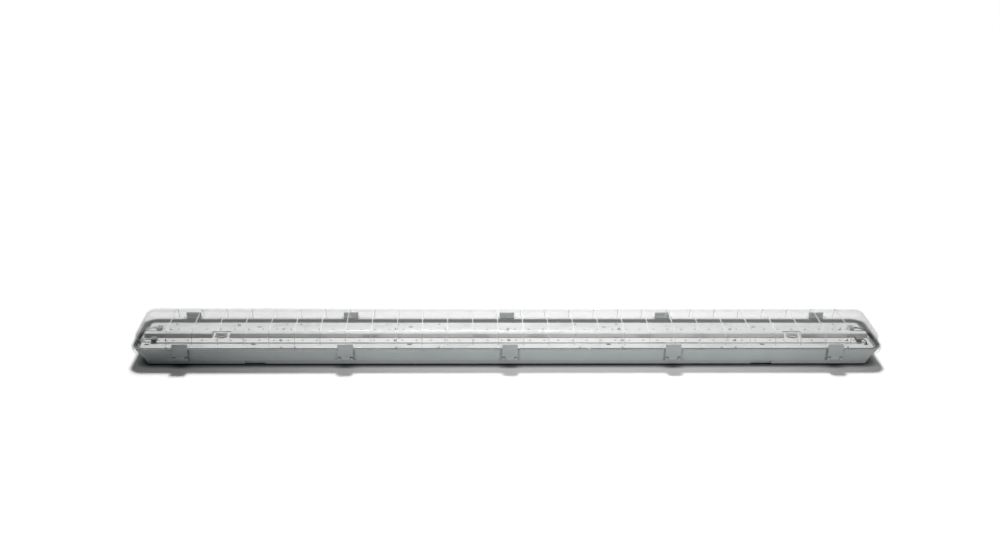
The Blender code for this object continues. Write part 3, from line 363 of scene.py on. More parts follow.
# %% White enamel and solder mask
def white_coat(name, dark, light, gloss, wave_size, depth, edge=0.0):
    """A pale or white coat: a peel of shallow waves in its height, and a slow drift of tone and gloss."""
    material, tree, place = start_material(name)
    drift = speckle(tree, place, 70 * MM, 2.0)
    peel = speckle(tree, place, wave_size, 1.0)
    tone = blend_colours(tree, between(tree, drift, 0.0, 1.0), dark, light)
    shader = add(tree, "ShaderNodeBsdfPrincipled", {
        "Base Color": tone, "Roughness": between(tree, drift, *gloss), "IOR": 1.50})
    finish_material(tree, shader, peel, depth, edge)
    return material


tray_white = white_coat("white_powder_enamel", "#DADBDB", "#DFE0E0", gloss=(0.24, 0.34),
                        wave_size=1.5 * MM, depth=0.010 * MM, edge=0.4 * MM)
mask_white = white_coat("white_solder_mask", "#D2D2D0", "#D7D7D5", gloss=(0.38, 0.46),
                        wave_size=2.4 * MM, depth=0.004 * MM)
connector_grey = white_coat("grey_filled_nylon", "#737372", "#7E7E7C", gloss=(0.42, 0.55),
                            wave_size=0.9 * MM, depth=0.010 * MM)
knob_nylon = white_coat("light_grey_nylon", "#D8D9D7", "#E0E1DF", gloss=(0.40, 0.52),
                        wave_size=0.9 * MM, depth=0.010 * MM)
case_white = white_coat("white_driver_case", "#DDDEDE", "#E4E5E5", gloss=(0.36, 0.46),
                        wave_size=1.1 * MM, depth=0.008 * MM, edge=0.5 * MM)
nylon_white = white_coat("natural_white_nylon", "#D9D8D2", "#E2E1DB", gloss=(0.40, 0.52),
                         wave_size=1.0 * MM, depth=0.008 * MM, edge=0.2 * MM)
print("pale coats:", tray_white.name, mask_white.name, connector_grey.name, knob_nylon.name, case_white.name,
      nylon_white.name)

# %% [markdown]
# The seal is foamed rubber, matt and nearly black, with open cells at its skin. Wire insulation is smooth
# PVC. The LEDs' phosphor is a yellow powder in clear silicone, which looks tan while it is unlit. The
# screws are zinc plated steel and the rivets tumbled aluminium: bright metals with fine marks, which keep
# the default IOR.

# %% Seal, insulation, phosphor and plated steel
def soft_skin(name, dark, light, gloss, cell, depth):
    """Foam, PVC or silicone: cells or faint bumps of that size in its height, and its tone follows them."""
    material, tree, place = start_material(name)
    cells = speckle(tree, place, cell, 3.0, 0.6)
    tone = blend_colours(tree, between(tree, cells, 0.0, 1.0), dark, light)
    shader = add(tree, "ShaderNodeBsdfPrincipled", {"Base Color": tone, "Roughness": gloss, "IOR": 1.52})
    finish_material(tree, shader, cells, depth)
    return material


seal_foam = soft_skin("foamed_rubber_seal", "#222425", "#303234", 0.92, cell=0.8 * MM, depth=0.08 * MM)
black_pvc = soft_skin("black_pvc_insulation", "#141415", "#1E1E1F", 0.40, cell=3.0 * MM, depth=0.01 * MM)
pale_pvc = soft_skin("pale_pvc_insulation", "#D2D2CE", "#DEDEDA", 0.42, cell=3.0 * MM, depth=0.01 * MM)
phosphor = soft_skin("phosphor_silicone", "#8E8266", "#9A8E72", 0.45, cell=0.5 * MM, depth=0.01 * MM)


def bright_metal(name, dark, light):
    """Bright metal: a cloudy tone, and marks about 0.25 mm apart, as turning leaves them, that roughen it."""
    material, tree, place = start_material(name)
    cloud = speckle(tree, place, 1.6 * MM, 3.0)
    marks = speckle(tree, place, 0.25 * MM)
    tone = blend_colours(tree, between(tree, cloud, 0.0, 1.0), dark, light)
    shader = add(tree, "ShaderNodeBsdfPrincipled", {"Base Color": tone, "Metallic": 1.0,
                                                    "Roughness": between(tree, marks, 0.24, 0.42)})
    finish_material(tree, shader, marks, 0.01 * MM)
    return material


zinc_plate = bright_metal("zinc_plated_steel", "#8F9294", "#A6A9AB")
rivet_metal = bright_metal("tumbled_aluminium", "#9FA2A4", "#B4B6B8")
print("small finishes:", seal_foam.name, black_pvc.name, pale_pvc.name, phosphor.name, zinc_plate.name,
      rivet_metal.name)

# %% [markdown]
# All new pieces are grids of points. One function joins each grid's neighbours into four-sided faces, so
# a shape is only a matter of where its points lie. A grid may wrap on itself, as a ring or a tube does,
# and may be capped at its first and last row. Points that coincide are merged and the faces turned
# outwards before it is used.

# %% From a grid of points to an object
MERGE_REACH, SLIVER = 0.002 * MM, 0.001 * MM
SHARP_ANGLE = 40.0


def grid_faces(rows, columns, wrap_rows=False, wrap_columns=False, caps=False):
    """Each cell of a grid as the four numbers of its corner points, and the caps as one face each."""
    index = np.arange(rows * columns).reshape(rows, columns)
    first, last = index[0, ::-1].tolist(), index[-1].tolist()
    if wrap_columns:
        index = np.concatenate([index, index[:, :1]], axis=1)
    if wrap_rows:
        index = np.concatenate([index, index[:1]], axis=0)
    cells = np.stack([index[:-1, :-1], index[:-1, 1:], index[1:, 1:], index[1:, :-1]], axis=-1)
    return cells.reshape(-1, 4).tolist() + ([first, last] if caps else [])


def make_piece(name, grids, material, body, nodes=(), smooth_angle=SHARP_ANGLE):
    """One object from several (points, faces) grids: merged, turned outwards, smooth below smooth_angle."""
    points, faces, start = [], [], 0
    for grid, grid_cells in grids:
        points.append(grid.reshape(-1, 3))
        faces += [[start + corner for corner in cell] for cell in grid_cells]
        start += len(points[-1])
    mesh = bpy.data.meshes.new(name)
    mesh.from_pydata(np.concatenate(points).tolist(), [], faces)
    work = bmesh.new()
    work.from_mesh(mesh)
    bmesh.ops.remove_doubles(work, verts=work.verts, dist=MERGE_REACH)
    bmesh.ops.dissolve_degenerate(work, edges=work.edges, dist=SLIVER)
    bmesh.ops.recalc_face_normals(work, faces=work.faces)
    for edge in work.edges:
        edge.smooth = edge.calc_face_angle(0.0) < math.radians(smooth_angle)
    for face in work.faces:
        face.smooth = True
    work.to_mesh(mesh)
    work.free()
    mesh.materials.append(material)
    piece = bpy.data.objects.new(name, mesh)
    bpy.context.scene.collection.objects.link(piece)
    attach(piece, body)
    if nodes:
        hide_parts(*nodes)
    return piece


def copies(grid, cells, places):
    """The grid once for each place, moved there, with its faces."""
    places = np.asarray(places, float)
    moved = grid[None] + places[(slice(None),) + (None,) * (grid.ndim - 1)]
    return [(one, cells) for one in moved]


def round_edges(piece, width):
    """Rounds every sharp edge with a Bevel modifier of two steps."""
    bevel = piece.modifiers.new("soft_edges", "BEVEL")
    bevel.width = width
    bevel.segments = 2
    bevel.limit_method = "ANGLE"
    bevel.angle_limit = math.radians(SHARP_ANGLE)


# %% [markdown]
# The clear cover is one moulding: a lip over the housing's rim, a flange that lies on the gasket, upright
# sides with draft, round shoulders and a nearly flat crown. Seen from above, every level is a rounded
# rectangle, and its corners tighten from 26 mm at the lip to 6 mm at the crown. So the cover is a
# function of two parameters: one runs round the rounded rectangle, the other up the profile. Round both
# ends the lip is deeper, rolls over with a larger radius and curls under, and its lower edge rises there
# in a soft S. A Solidify modifier gives the wall its 1.8 mm inwards.

# %% The cover's profile
cover_low, cover_high = [np.array(corner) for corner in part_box("lens")]
cover_half_length, cover_half_width = cover_high[:2]
COVER_WALL = 1.8 * MM
FLANGE_TOP = 33.0 * MM
LIP_CORNER, FOOT_CORNER, CROWN_CORNER = 26.2 * MM, 21.4 * MM, 6.0 * MM
LIP_DEPTH, SKIRT_DEPTH = 3.1 * MM, FLANGE_TOP - cover_low[2]
SIDE_ROLL, END_ROLL, END_CURL = 1.9 * MM, 3.2 * MM, 2.2 * MM
FILLET, SHOULDER, SHOULDER_STEPS = 1.0 * MM, 16.5 * MM, 14
UPRIGHT_TOP, CROWN_RUN = 41.5 * MM, 23.0 * MM
FOOT_INSETS, DRAFT = np.array([4.8, 8.0]) * MM, np.array([0.8, 2.0]) * MM
NO_LIP = (0.0, 0.0, 0.0)


def arc(start_degrees, end_degrees, count):
    """Cosine and sine along an arc, both as arrays."""
    angle = np.radians(np.linspace(start_degrees, end_degrees, count))
    return np.cos(angle), np.sin(angle)


def cover_profile():
    """Rows of (end inset, side inset, corner, height, roll in, roll down, drop), from the lip to the crown.

    The lip runs straight up, rolls over in a quarter circle, crosses the flange, turns up in a small fillet,
    rises with draft, rounds the shoulder in a quarter circle and ends in a shallow parabola at the crown. The
    last three columns are shares: of the roll's radius inwards and down, and of the lip's own depth.
    """
    rows = [(0.0, 0.0, LIP_CORNER, FLANGE_TOP, 0.0, 1.0, share) for share in np.linspace(1.0, 0.0, 9)]
    cosine, sine = arc(0.0, 90.0, 9)
    rows += [(0.0, 0.0, LIP_CORNER, FLANGE_TOP, 1 - c, 1 - s, 0.0) for c, s in zip(cosine, sine)]
    foot = FLANGE_TOP + FILLET
    cosine, sine = arc(-90.0, 0.0, 5)
    rows += [(*(FOOT_INSETS - FILLET + FILLET * c), FOOT_CORNER, foot + FILLET * s, *NO_LIP)
             for c, s in zip(cosine, sine)]
    rows += [(*(FOOT_INSETS + DRAFT * t), FOOT_CORNER, foot + (UPRIGHT_TOP - foot) * t, *NO_LIP)
             for t in np.linspace(0.0, 1.0, 5)[1:]]
    insets = FOOT_INSETS + DRAFT
    cosine, sine = arc(0.0, 90.0, SHOULDER_STEPS + 1)
    corners = FOOT_CORNER + (CROWN_CORNER - FOOT_CORNER) * np.arange(SHOULDER_STEPS + 1) / SHOULDER_STEPS
    rows += [(*(insets + SHOULDER * (1 - c)), corner, UPRIGHT_TOP + SHOULDER * s, *NO_LIP)
             for corner, c, s in zip(corners[1:], cosine[1:], sine[1:])]
    insets, crown_low = insets + SHOULDER, UPRIGHT_TOP + SHOULDER
    rows += [(*(insets + CROWN_RUN * t), CROWN_CORNER,
              crown_low + (cover_high[2] - crown_low) * (1 - (1 - t) ** 2), *NO_LIP)
             for t in np.linspace(0.0, 1.0, 7)[1:]]
    return np.array(rows)


def rounded_rectangle(half_length, half_width, corner, steps):
    """Points round a rectangle with round corners, as (..., 4 * (steps + 1)) arrays of x and y.

    Each corner is a quarter circle about a centre that lies one corner radius in from both sides.
    """
    angle = np.radians(90 * (np.arange(4)[:, None] + np.linspace(0.0, 1.0, steps + 1)[None])).reshape(-1)
    sign_x = np.repeat([1, -1, -1, 1], steps + 1)
    sign_y = np.repeat([1, 1, -1, -1], steps + 1)
    half_length, half_width, corner = [
        np.asarray(size)[..., None] for size in (half_length, half_width, corner)]
    x = sign_x * (half_length - corner) + corner * np.cos(angle)
    y = sign_y * (half_width - corner) + corner * np.sin(angle)
    return x, y


# %% The clear cover
SKIRT_START, SKIRT_FULL = 616.5 * MM, 623.0 * MM
CORNER_STEPS = 30
end_inset, side_inset, corner, height, roll_in, roll_down, drop = cover_profile().T
lip_x = np.abs(rounded_rectangle(cover_half_length, cover_half_width, LIP_CORNER, CORNER_STEPS)[0])
along = np.clip((lip_x - SKIRT_START) / (SKIRT_FULL - SKIRT_START), 0.0, 1.0)
end_share = along ** 2 * (3 - 2 * along)
roll = SIDE_ROLL + (END_ROLL - SIDE_ROLL) * end_share
lip_drop = LIP_DEPTH + (SKIRT_DEPTH - LIP_DEPTH) * end_share - roll
inward = roll * roll_in[:, None] + END_CURL * end_share * drop[:, None] ** 3
ring_x, ring_y = rounded_rectangle(cover_half_length - end_inset, cover_half_width - side_inset, corner,
                                   CORNER_STEPS)
outward_x, outward_y = rounded_rectangle(1.0, 1.0, 1.0, CORNER_STEPS)
cover_points = np.stack([
    ring_x - inward * outward_x, ring_y - inward * outward_y,
    height[:, None] - roll * roll_down[:, None] - lip_drop * drop[:, None]], axis=-1)
cover_faces = grid_faces(*cover_points.shape[:2], wrap_columns=True)
last_ring = (cover_points.shape[0] - 1) * cover_points.shape[1]
cover_faces.append(list(range(last_ring, last_ring + cover_points.shape[1])))
clear_cover = make_piece("clear_cover", [(cover_points, cover_faces)], cover_clear, "body",
                         ["lens"], 180.0)
cover_wall = clear_cover.modifiers.new("wall", "SOLIDIFY")
cover_wall.thickness = COVER_WALL
cover_wall.offset = -1.0
cover_wall.use_even_offset = True
print("cover:", cover_points.shape[0], "rows of", cover_points.shape[1], "points")

# %% [markdown]
# The seal lies foamed in the rim's groove. Its section swells over the groove's inner side and hangs down
# a little inside the rim. That dark hanging lip is painted shade: it stands where the gap between the tray
# and the housing's inner wall lies in shadow, and it draws the dark band that shows behind the tray. It is
# one section of (inset from the rim's outer edge, height), carried round the rounded rectangle of the rim.

# %% Foam seal, whose hanging inner lip is painted shade
LIP_CLEARANCE = 0.4 * MM
RIM_HALF_LENGTH, RIM_HALF_WIDTH, RIM_CORNER = [
    size - COVER_WALL - LIP_CLEARANCE for size in (cover_half_length, cover_half_width, LIP_CORNER)]
# The section's inner end hangs down inside the rim to 27.5 mm: a dark lip of painted shade.
seal_section_with_shade_lip = np.array([
    (1.8, 29.2), (1.8, 30.9), (2.1, 31.05), (3.6, 31.08), (5.4, 31.08), (5.9, 30.95), (6.25, 30.5),
    (6.35, 29.8), (6.3, 28.5), (6.1, 27.8), (5.8, 27.5), (5.5, 27.65), (5.45, 30.93), (3.8, 30.93),
    (3.6, 30.8), (3.6, 29.2)]) * MM
inset, seal_height = seal_section_with_shade_lip.T
seal_x, seal_y = rounded_rectangle(RIM_HALF_LENGTH - inset, RIM_HALF_WIDTH - inset, RIM_CORNER - inset, 16)
seal_points = np.stack([seal_x, seal_y, np.broadcast_to(seal_height[:, None], seal_x.shape)], axis=-1)
seal_cells = grid_faces(*seal_x.shape, wrap_rows=True, wrap_columns=True)
make_piece("foam_seal_with_painted_shade_lip", [(seal_points, seal_cells)], seal_foam, "body", ["gasket"], 60.0)
print("seal:", len(seal_section_with_shade_lip), "points round its section")

# %% [markdown]
# Moulded ribs cross the cover every 42.6 mm to stiffen it. Each is a round ridge that starts in the wall
# and stands a little proud inside, and it follows the wall from flange to flange. It is a half-round
# section carried along that line: the profile gives the line and its normal, and the ridge stands along
# the normal. All 28 are one piece.

# %% Cross ribs inside the cover
RIB_COUNT, RIB_PITCH, RIB_WIDTH, RIB_HEIGHT = 28, 42.57 * MM, 1.3 * MM, 0.5 * MM
RIB_START, RIB_SHIFT, RIB_STEPS = 0.15 * MM, 2.0 * MM, 7


def rib_line():
    """The cover's side profile from one upright foot over the crown to the other, as y, z and its normal."""
    keep = height > FLANGE_TOP + FILLET
    y, z = cover_half_width - side_inset[keep], height[keep]
    line = np.stack([np.concatenate([y, -y[::-1]]), np.concatenate([z, z[::-1]])], axis=-1)
    slope = np.gradient(line, axis=0)
    slope /= np.linalg.norm(slope, axis=1, keepdims=True)
    return line, np.stack([slope[:, 1], -slope[:, 0]], axis=-1)


line, outward = rib_line()
cosine, sine = arc(0.0, 180.0, RIB_STEPS)
depth_below = RIB_START + (COVER_WALL + RIB_HEIGHT - RIB_START) * sine
rib = np.empty((len(line), RIB_STEPS, 3))
rib[..., 0] = RIB_WIDTH / 2 * cosine
rib[..., 1:] = line[:, None] - outward[:, None] * depth_below[None, :, None]
rib_x = (np.arange(RIB_COUNT) - (RIB_COUNT - 1) / 2) * RIB_PITCH + RIB_SHIFT
rib_cells = grid_faces(len(line), RIB_STEPS, wrap_columns=True, caps=True)
rib_places = [(x, 0.0, 0.0) for x in rib_x]
make_piece("cover_ribs", copies(rib, rib_cells, rib_places), ridge_clear, "body")
print("ribs:", RIB_COUNT, "from", round(rib_x[0] / MM, 1), "to", round(rib_x[-1] / MM, 1), "mm")

# %% [markdown]
# Ten latches hold the cover. On the real one each is a moulded lever: a slightly bowed plate with a
# finger tab at its top, a hook that grips the flange and a narrower tongue that swings between two lugs.
# A loft of rounded rectangles gives all of these soft edges at once: the section's width, thickness and
# place change along it.

# %% Lofted rounded blocks and turned shapes
def rounded_block(centres, half_widths, half_depths, radius, across, deep, steps=4):
    """Rounded rectangles centred on a path: across and deep are the section's two directions at each place.

    Each section is a rectangle with quarter circles of the given radius in its corners, and the rows of such
    sections are joined into a solid with flat ends.
    """
    centres = np.asarray(centres, float)
    count = len(centres)
    half_widths = np.broadcast_to(half_widths, count).astype(float)
    half_depths = np.broadcast_to(half_depths, count).astype(float)
    radius = np.minimum(np.broadcast_to(radius, count), np.minimum(half_widths, half_depths) * 0.98)
    u, v = rounded_rectangle(half_widths, half_depths, radius, steps)
    across = np.broadcast_to(np.asarray(across, float), (count, 3))
    deep = np.broadcast_to(np.asarray(deep, float), (count, 3))
    points = centres[:, None] + u[..., None] * across[:, None] + v[..., None] * deep[:, None]
    return points, grid_faces(count, points.shape[1], wrap_columns=True, caps=True)


def softened(values, edge, radius):
    """Shrinks half sizes along a quarter circle of that radius as edge, the way left to the end, runs out."""
    return values - radius * (1 - np.sqrt(np.clip(1 - (1 - np.clip(edge / radius, 0, 1)) ** 2, 0, 1)))


def turned(profile, centre, axis, sides):
    """Turns a profile of (radius, reach) about an axis: each row is a circle of that radius at that reach."""
    radius, reach = np.asarray(profile, float).T
    axis = np.asarray(axis, float)
    first = np.cross(axis, (0.0, 0.0, 1.0) if abs(axis[2]) < 0.9 else (1.0, 0.0, 0.0))
    first /= np.linalg.norm(first)
    second = np.cross(axis, first)
    angle = np.linspace(0.0, 2 * np.pi, sides, endpoint=False)
    circle = np.cos(angle)[:, None] * first + np.sin(angle)[:, None] * second
    points = np.asarray(centre) + reach[:, None, None] * axis + radius[:, None, None] * circle
    return points, grid_faces(len(radius), sides, wrap_columns=True)


# %% The latch, about its own pin
ROWS = (("front", -1), ("rear", 1))
LATCH_HALF, HOOK_HALF, TONGUE_HALF = 13.0 * MM, 12.4 * MM, 7.5 * MM
PIN_Y, PIN_Z = 70.5 * MM, 13.6 * MM
FOOT_UP, HOOK_UP, TAB_UP = 5.0 * MM, 19.7 * MM, 27.9 * MM
FOOT_OUT, LIP_OUT, HOOK_TIP_OUT = 0.6 * MM, 2.5 * MM, -2.1 * MM
PLATE_THICK, TAB_THICK, HOOK_THICK = 2.2 * MM, 1.8 * MM, 2.1 * MM


def latch_plate():
    """The plate from its foot to its tab's top. It leans outwards, most of it low down, so it looks bowed.

    The lean is a power curve of the height, and the sections shrink along quarter circles at both ends.
    """
    low = FOOT_UP + np.array([0.0, 0.1, 0.3, 0.6, 1.0]) * MM
    high = TAB_UP - np.array([1.7, 1.1, 0.6, 0.25, 0.06, 0.0]) * MM
    up = np.concatenate([low, np.linspace(FOOT_UP + 1.8 * MM, TAB_UP - 2.4 * MM, 14), high])
    rise = np.clip((up - FOOT_UP) / (HOOK_UP - FOOT_UP), 0.0, 1.0)
    inner = FOOT_OUT + (LIP_OUT - FOOT_OUT) * (1 - (1 - rise) ** 1.7)
    thick = PLATE_THICK + (TAB_THICK - PLATE_THICK) * np.clip((up - HOOK_UP) / (TAB_UP - HOOK_UP), 0, 1)
    half_depth = softened(softened(thick / 2, up - FOOT_UP, 0.5 * MM), TAB_UP - up, 0.6 * MM)
    half_width = softened(np.full_like(up, LATCH_HALF), up - FOOT_UP, 0.8 * MM)
    half_width = softened(half_width, TAB_UP - up, 1.6 * MM)
    centres = np.stack([np.zeros_like(up), -(inner + thick / 2), up], axis=-1)
    return rounded_block(centres, half_width, half_depth, 0.5 * MM, (1, 0, 0), (0, -1, 0))


def latch_hook():
    """The hook: a short shelf from the plate over the flange, rounded at its nose."""
    out = HOOK_TIP_OUT + np.array([5.2, 4.4, 3.0, 1.6, 0.7, 0.3, 0.08, 0.0]) * MM
    half_depth = softened(np.full_like(out, HOOK_THICK / 2), out - HOOK_TIP_OUT, 0.5 * MM)
    half_width = softened(np.full_like(out, HOOK_HALF), out - HOOK_TIP_OUT, 0.8 * MM)
    centres = np.stack([np.zeros_like(out), -out, np.full_like(out, HOOK_UP + HOOK_THICK / 2)], axis=-1)
    return rounded_block(centres, half_width, half_depth, 0.4 * MM, (1, 0, 0), (0, 0, 1))


def latch_tongue():
    """The tongue: from the plate's foot it runs down to the barrel that turns between the lugs."""
    up = np.array([6.4, 5.2, 4.0, 2.8, 1.6, 0.6, 0.0]) * MM
    out = np.array([1.8, 1.75, 1.7, 1.65, 1.6, 1.5, 1.4]) * MM
    half_depth = np.array([1.0, 1.05, 1.1, 1.2, 1.3, 1.4, 1.4]) * MM
    centres = np.stack([np.zeros_like(up), -out, up], axis=-1)
    return rounded_block(centres, TONGUE_HALF, half_depth, 0.4 * MM, (1, 0, 0), (0, -1, 0))


barrel_profile = np.array([(0, -7.5), (2.6, -7.5), (3.0, -7.1), (3.0, 7.1), (2.6, 7.5), (0, 7.5)]) * MM
pin_profile = np.array([(0, -12.5), (1.2, -12.5), (1.4, -12.3), (1.4, 12.3), (1.2, 12.5), (0, 12.5)]) * MM
latch_grids = [latch_plate(), latch_hook(), latch_tongue(), turned(barrel_profile, (0, 0, 0), (1, 0, 0), 20),
               turned(pin_profile, (0, 0, 0), (1, 0, 0), 14)]
latch_middles = []
for row, side in ROWS:
    for index in range(1, 6):
        name = f"latch_{row}_{index}"
        low, high = [np.array(corner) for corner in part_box(name)]
        middle = (low[0] + high[0]) / 2
        latch_middles.append((middle, side))
        turn, pin = (-side, -side, 1), (middle, side * PIN_Y, PIN_Z)
        grids = [(grid * turn + pin, cells) for grid, cells in latch_grids]
        make_piece(f"{name}_lever", grids, latch_grey, name, [name])
print("latches:", len(latch_middles), "each", round(2 * LATCH_HALF / MM), "mm wide")

# %% [markdown]
# On the cover's flange a small moulded stop stands at either side of each latch, so that the hook can't
# slide along. It is a rounded block: sections that shrink towards the top.

# %% Stops beside the latches
STOP_REACH, STOP_Y, STOP_HEIGHT = LATCH_HALF + 2.0 * MM, 68.6 * MM, 2.4 * MM


def flange_stop():
    """One stop: sections along Z whose half sizes shrink along a quarter circle near the top."""
    up = np.array([-0.2, 0.6, 1.4, 1.9, 2.2, 2.35, 2.4]) * MM
    half_x = softened(np.full_like(up, 1.3 * MM), STOP_HEIGHT - up, 0.7 * MM)
    half_y = softened(np.full_like(up, 2.6 * MM), STOP_HEIGHT - up, 0.7 * MM)
    centres = np.stack([np.zeros_like(up), np.zeros_like(up), up], axis=-1)
    return rounded_block(centres, half_x, half_y, 0.6 * MM, (1, 0, 0), (0, 1, 0), 3)


stop_places = [(middle + flank * STOP_REACH, side * STOP_Y, FLANGE_TOP) for middle, side in latch_middles
               for flank in (-1, 1)]
make_piece("cover_stops", copies(*flange_stop(), stop_places), ridge_clear, "body")
print("stops on the flange:", len(stop_places))

# %% [markdown]
# Each LED is a small white package with a pad of phosphor silicone in its middle. The packages are in the
# CAD boards. The pads are thin rounded rectangles on top of them, one piece for each board, 25 pads each.
# Boards, connectors and leads come four times, once for each row and end, so the four quarters are listed
# here, and the later cells go through the same list.

# %% Phosphor pads of the LEDs
QUARTERS = [(row, flank, end, side) for row, flank in ROWS for end, side in (("left", -1), ("right", 1))]
PACKAGE_TOP = 29.5 * MM
LED_COUNT, LED_PITCH, ROW_Y = 25, 24.16 * MM, 25.5 * MM
pad_levels = np.array([[0, 0, -0.05], [0, 0, 0.03], [0, 0, 0.06]]) * MM
pad_half_widths, pad_half_depths = np.array([[1.55, 1.55, 1.45], [1.15, 1.15, 1.05]]) * MM
pad = rounded_block(pad_levels, pad_half_widths, pad_half_depths, 0.4 * MM, (1, 0, 0), (0, 1, 0), 2)
for row, flank, end, side in QUARTERS:
    pad_x = side * LED_PITCH * (np.arange(LED_COUNT) + 0.5)
    places = [(x, flank * ROW_Y, PACKAGE_TOP) for x in pad_x]
    make_piece(f"led_pads_{row}_{end}", copies(*pad, places), phosphor, "body")
print("LED pads:", len(QUARTERS) * LED_COUNT)

# %% [markdown]
# The board screws are pan heads with a cross recess. A head is a dome over a disc, and the recess has
# straight sides, which a grid of circles can't follow. So the head is a square grid whose lines lie on
# the recess's edges, bent to a disc: x = u * sqrt(1 - v * v / 2), and y in the same way. The dome's
# height falls with the distance from the middle, and the recess is pressed into it.

# %% Surfaces with pressed pockets
WALL_RUN = 0.03
DOME_TOP, DOME_FALL = 0.57, 0.22
RECESS_ARM, RECESS_REACH, RECESS_DEPTH = 0.14, 0.62, 0.34


def ruled(edges, ends, count):
    """Grid lines from end to end: evenly spaced ones, and a pair at each edge for a steep wall there."""
    edges = np.asarray(edges, float)
    lines = np.concatenate([np.linspace(*ends, count), edges, edges + WALL_RUN * np.sign(edges)])
    return np.unique(np.round(lines, 6))


def pressed(u, v, pockets):
    """How deep the pockets press at each point of a grid: each is (u low, u high, v low, v high, depth)."""
    depth = np.zeros(np.broadcast(u, v).shape)
    for u_low, u_high, v_low, v_high, amount in pockets:
        inside = (u >= u_low - 1e-6) & (u <= u_high + 1e-6) & (v >= v_low - 1e-6) & (v <= v_high + 1e-6)
        depth = np.maximum(depth, amount * inside)
    return depth


def pan_head():
    """A pan head of unit radius: its domed top with the recess pressed in, and its flat underside."""
    lines = ruled([-RECESS_REACH, -RECESS_ARM, RECESS_ARM, RECESS_REACH], (-1.0, 1.0), 9)
    u, v = np.meshgrid(lines, lines, indexing="ij")
    x, y = u * np.sqrt(1 - v ** 2 / 2), v * np.sqrt(1 - u ** 2 / 2)
    dome = DOME_TOP - DOME_FALL * (x ** 2 + y ** 2) ** 1.6
    dome -= pressed(u, v, [(-RECESS_REACH, RECESS_REACH, -RECESS_ARM, RECESS_ARM, RECESS_DEPTH),
                           (-RECESS_ARM, RECESS_ARM, -RECESS_REACH, RECESS_REACH, RECESS_DEPTH)])
    top = np.stack([x, y, dome], axis=-1)
    base = np.stack([x, y, np.zeros_like(x)], axis=-1)
    return top, base


def closed_grid(top, base):
    """Joins a top grid and a base grid of the same shape along their borders into one closed solid."""
    rows, columns = top.shape[:2]
    index = np.arange(rows * columns).reshape(rows, columns)
    border = np.concatenate([index[0], index[1:, -1], index[-1, -2::-1], index[-2:0:-1, 0]])
    under = border + rows * columns
    walls = np.stack([border, np.roll(border, -1), np.roll(under, -1), under], axis=-1)
    cells = grid_faces(rows, columns)
    faces = cells + [[corner + rows * columns for corner in cell[::-1]] for cell in cells] + walls.tolist()
    return np.concatenate([top.reshape(-1, 3), base.reshape(-1, 3)]), faces


# %% Screws of the boards and the tray
HEAD_RADIUS, HEAD_HEIGHT = 2.75 * MM, 1.6 * MM
head_top, head_base = pan_head()
shank_profile = np.array([(0, 0.2), (1.3, 0.2), (1.3, -3.1), (0.9, -3.6), (0, -3.6)]) * MM
shank, shank_cells = turned(shank_profile, (0, 0, 0), (0, 0, 1), 12)
screws = [node for node in frame["nodes"] if node.startswith("board_screw") or node == "earth_screw"]
for name in screws:
    low, high = [np.array(corner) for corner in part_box(name)]
    seat = np.array([(low[0] + high[0]) / 2, (low[1] + high[1]) / 2, high[2] - HEAD_HEIGHT])
    head, head_cells = closed_grid(head_top * HEAD_RADIUS + seat, head_base * HEAD_RADIUS + seat)
    make_piece(f"{name}_pan", [(head, head_cells), (shank + seat, shank_cells)], zinc_plate, "body",
               [name])
print("pan heads:", len(screws), "of radius", HEAD_RADIUS / MM, "mm")

# %% [markdown]
# The tray's seams are closed with small blind rivets. Such a rivet is a low dome with a hole in its
# middle, where its pin broke off, so it is turned from a profile that dips at the axis. It sits over the
# CAD rivet.

# %% Blind rivets in the tray
TRAY_TOP = 27.3 * MM
rivet_profile = np.array([
    (0, 0.83), (0.5, 0.83), (0.6, 1.12), (0.95, 1.1), (1.5, 0.78), (1.95, 0.3), (2.05, 0.02), (2.05, -0.1),
    (0, -0.1)]) * MM
rivet = turned(rivet_profile, (0, 0, 0), (0, 0, 1), 16)
RIVET_X, RIVET_Y = np.array([119.0, 191.5, 360.1, 383.7, 575.2]) * MM, 52.5 * MM
rivet_places = [(side * x, flank * RIVET_Y, TRAY_TOP)
                for x in RIVET_X for side in (-1, 1) for flank in (-1, 1)]
make_piece("tray_rivet_heads", copies(*rivet, rivet_places), rivet_metal, "body")
print("rivets:", len(rivet_places))

# %% [markdown]
# A push-in connector sits at the outer end of each board. It is a nylon block with two release windows
# and two test holes in its top, and two round wire entries in its outer face. The top is a grid again,
# with lines on the edges of its pockets, and a Bevel modifier rounds the block.

# %% Board connectors
POCKET_ROWS, POCKET_HALF, POCKET_WALL = (3.9, 9.1), 1.26, 0.04
TEST_HOLE, WINDOW = (1.24, 3.0, 0.8), (5.04, 6.4, 1.9)


def connector_block(low, high, side):
    """A block between two corners, with two windows and two test holes pressed into its top.

    A pocket is (start, stop, depth) in millimetres from the inner face, and its walls run over POCKET_WALL.
    """
    length, width = (high - low)[:2] / MM
    columns = [(start, stop) for start, stop, _ in (TEST_HOLE, WINDOW)]
    rows = [(row - POCKET_HALF, row + POCKET_HALF) for row in POCKET_ROWS]
    u, v = [np.unique([0, end, *[edge for start, stop in spans
                                 for edge in (start - POCKET_WALL, start, stop, stop + POCKET_WALL)]])
            for spans, end in ((columns, length), (rows, width))]
    grid_u, grid_v = np.meshgrid(u, v, indexing="ij")
    pockets = [(start, stop, *row, depth) for row in rows for start, stop, depth in (WINDOW, TEST_HOLE)]
    top_z = high[2] - pressed(grid_u, grid_v, pockets) * MM
    place_x = low[0] + grid_u * MM if side > 0 else high[0] - grid_u * MM
    top = np.stack([place_x, low[1] + grid_v * MM, top_z], axis=-1)
    base = np.stack([place_x, low[1] + grid_v * MM, np.full_like(grid_u, low[2])], axis=-1)
    return closed_grid(top, base)


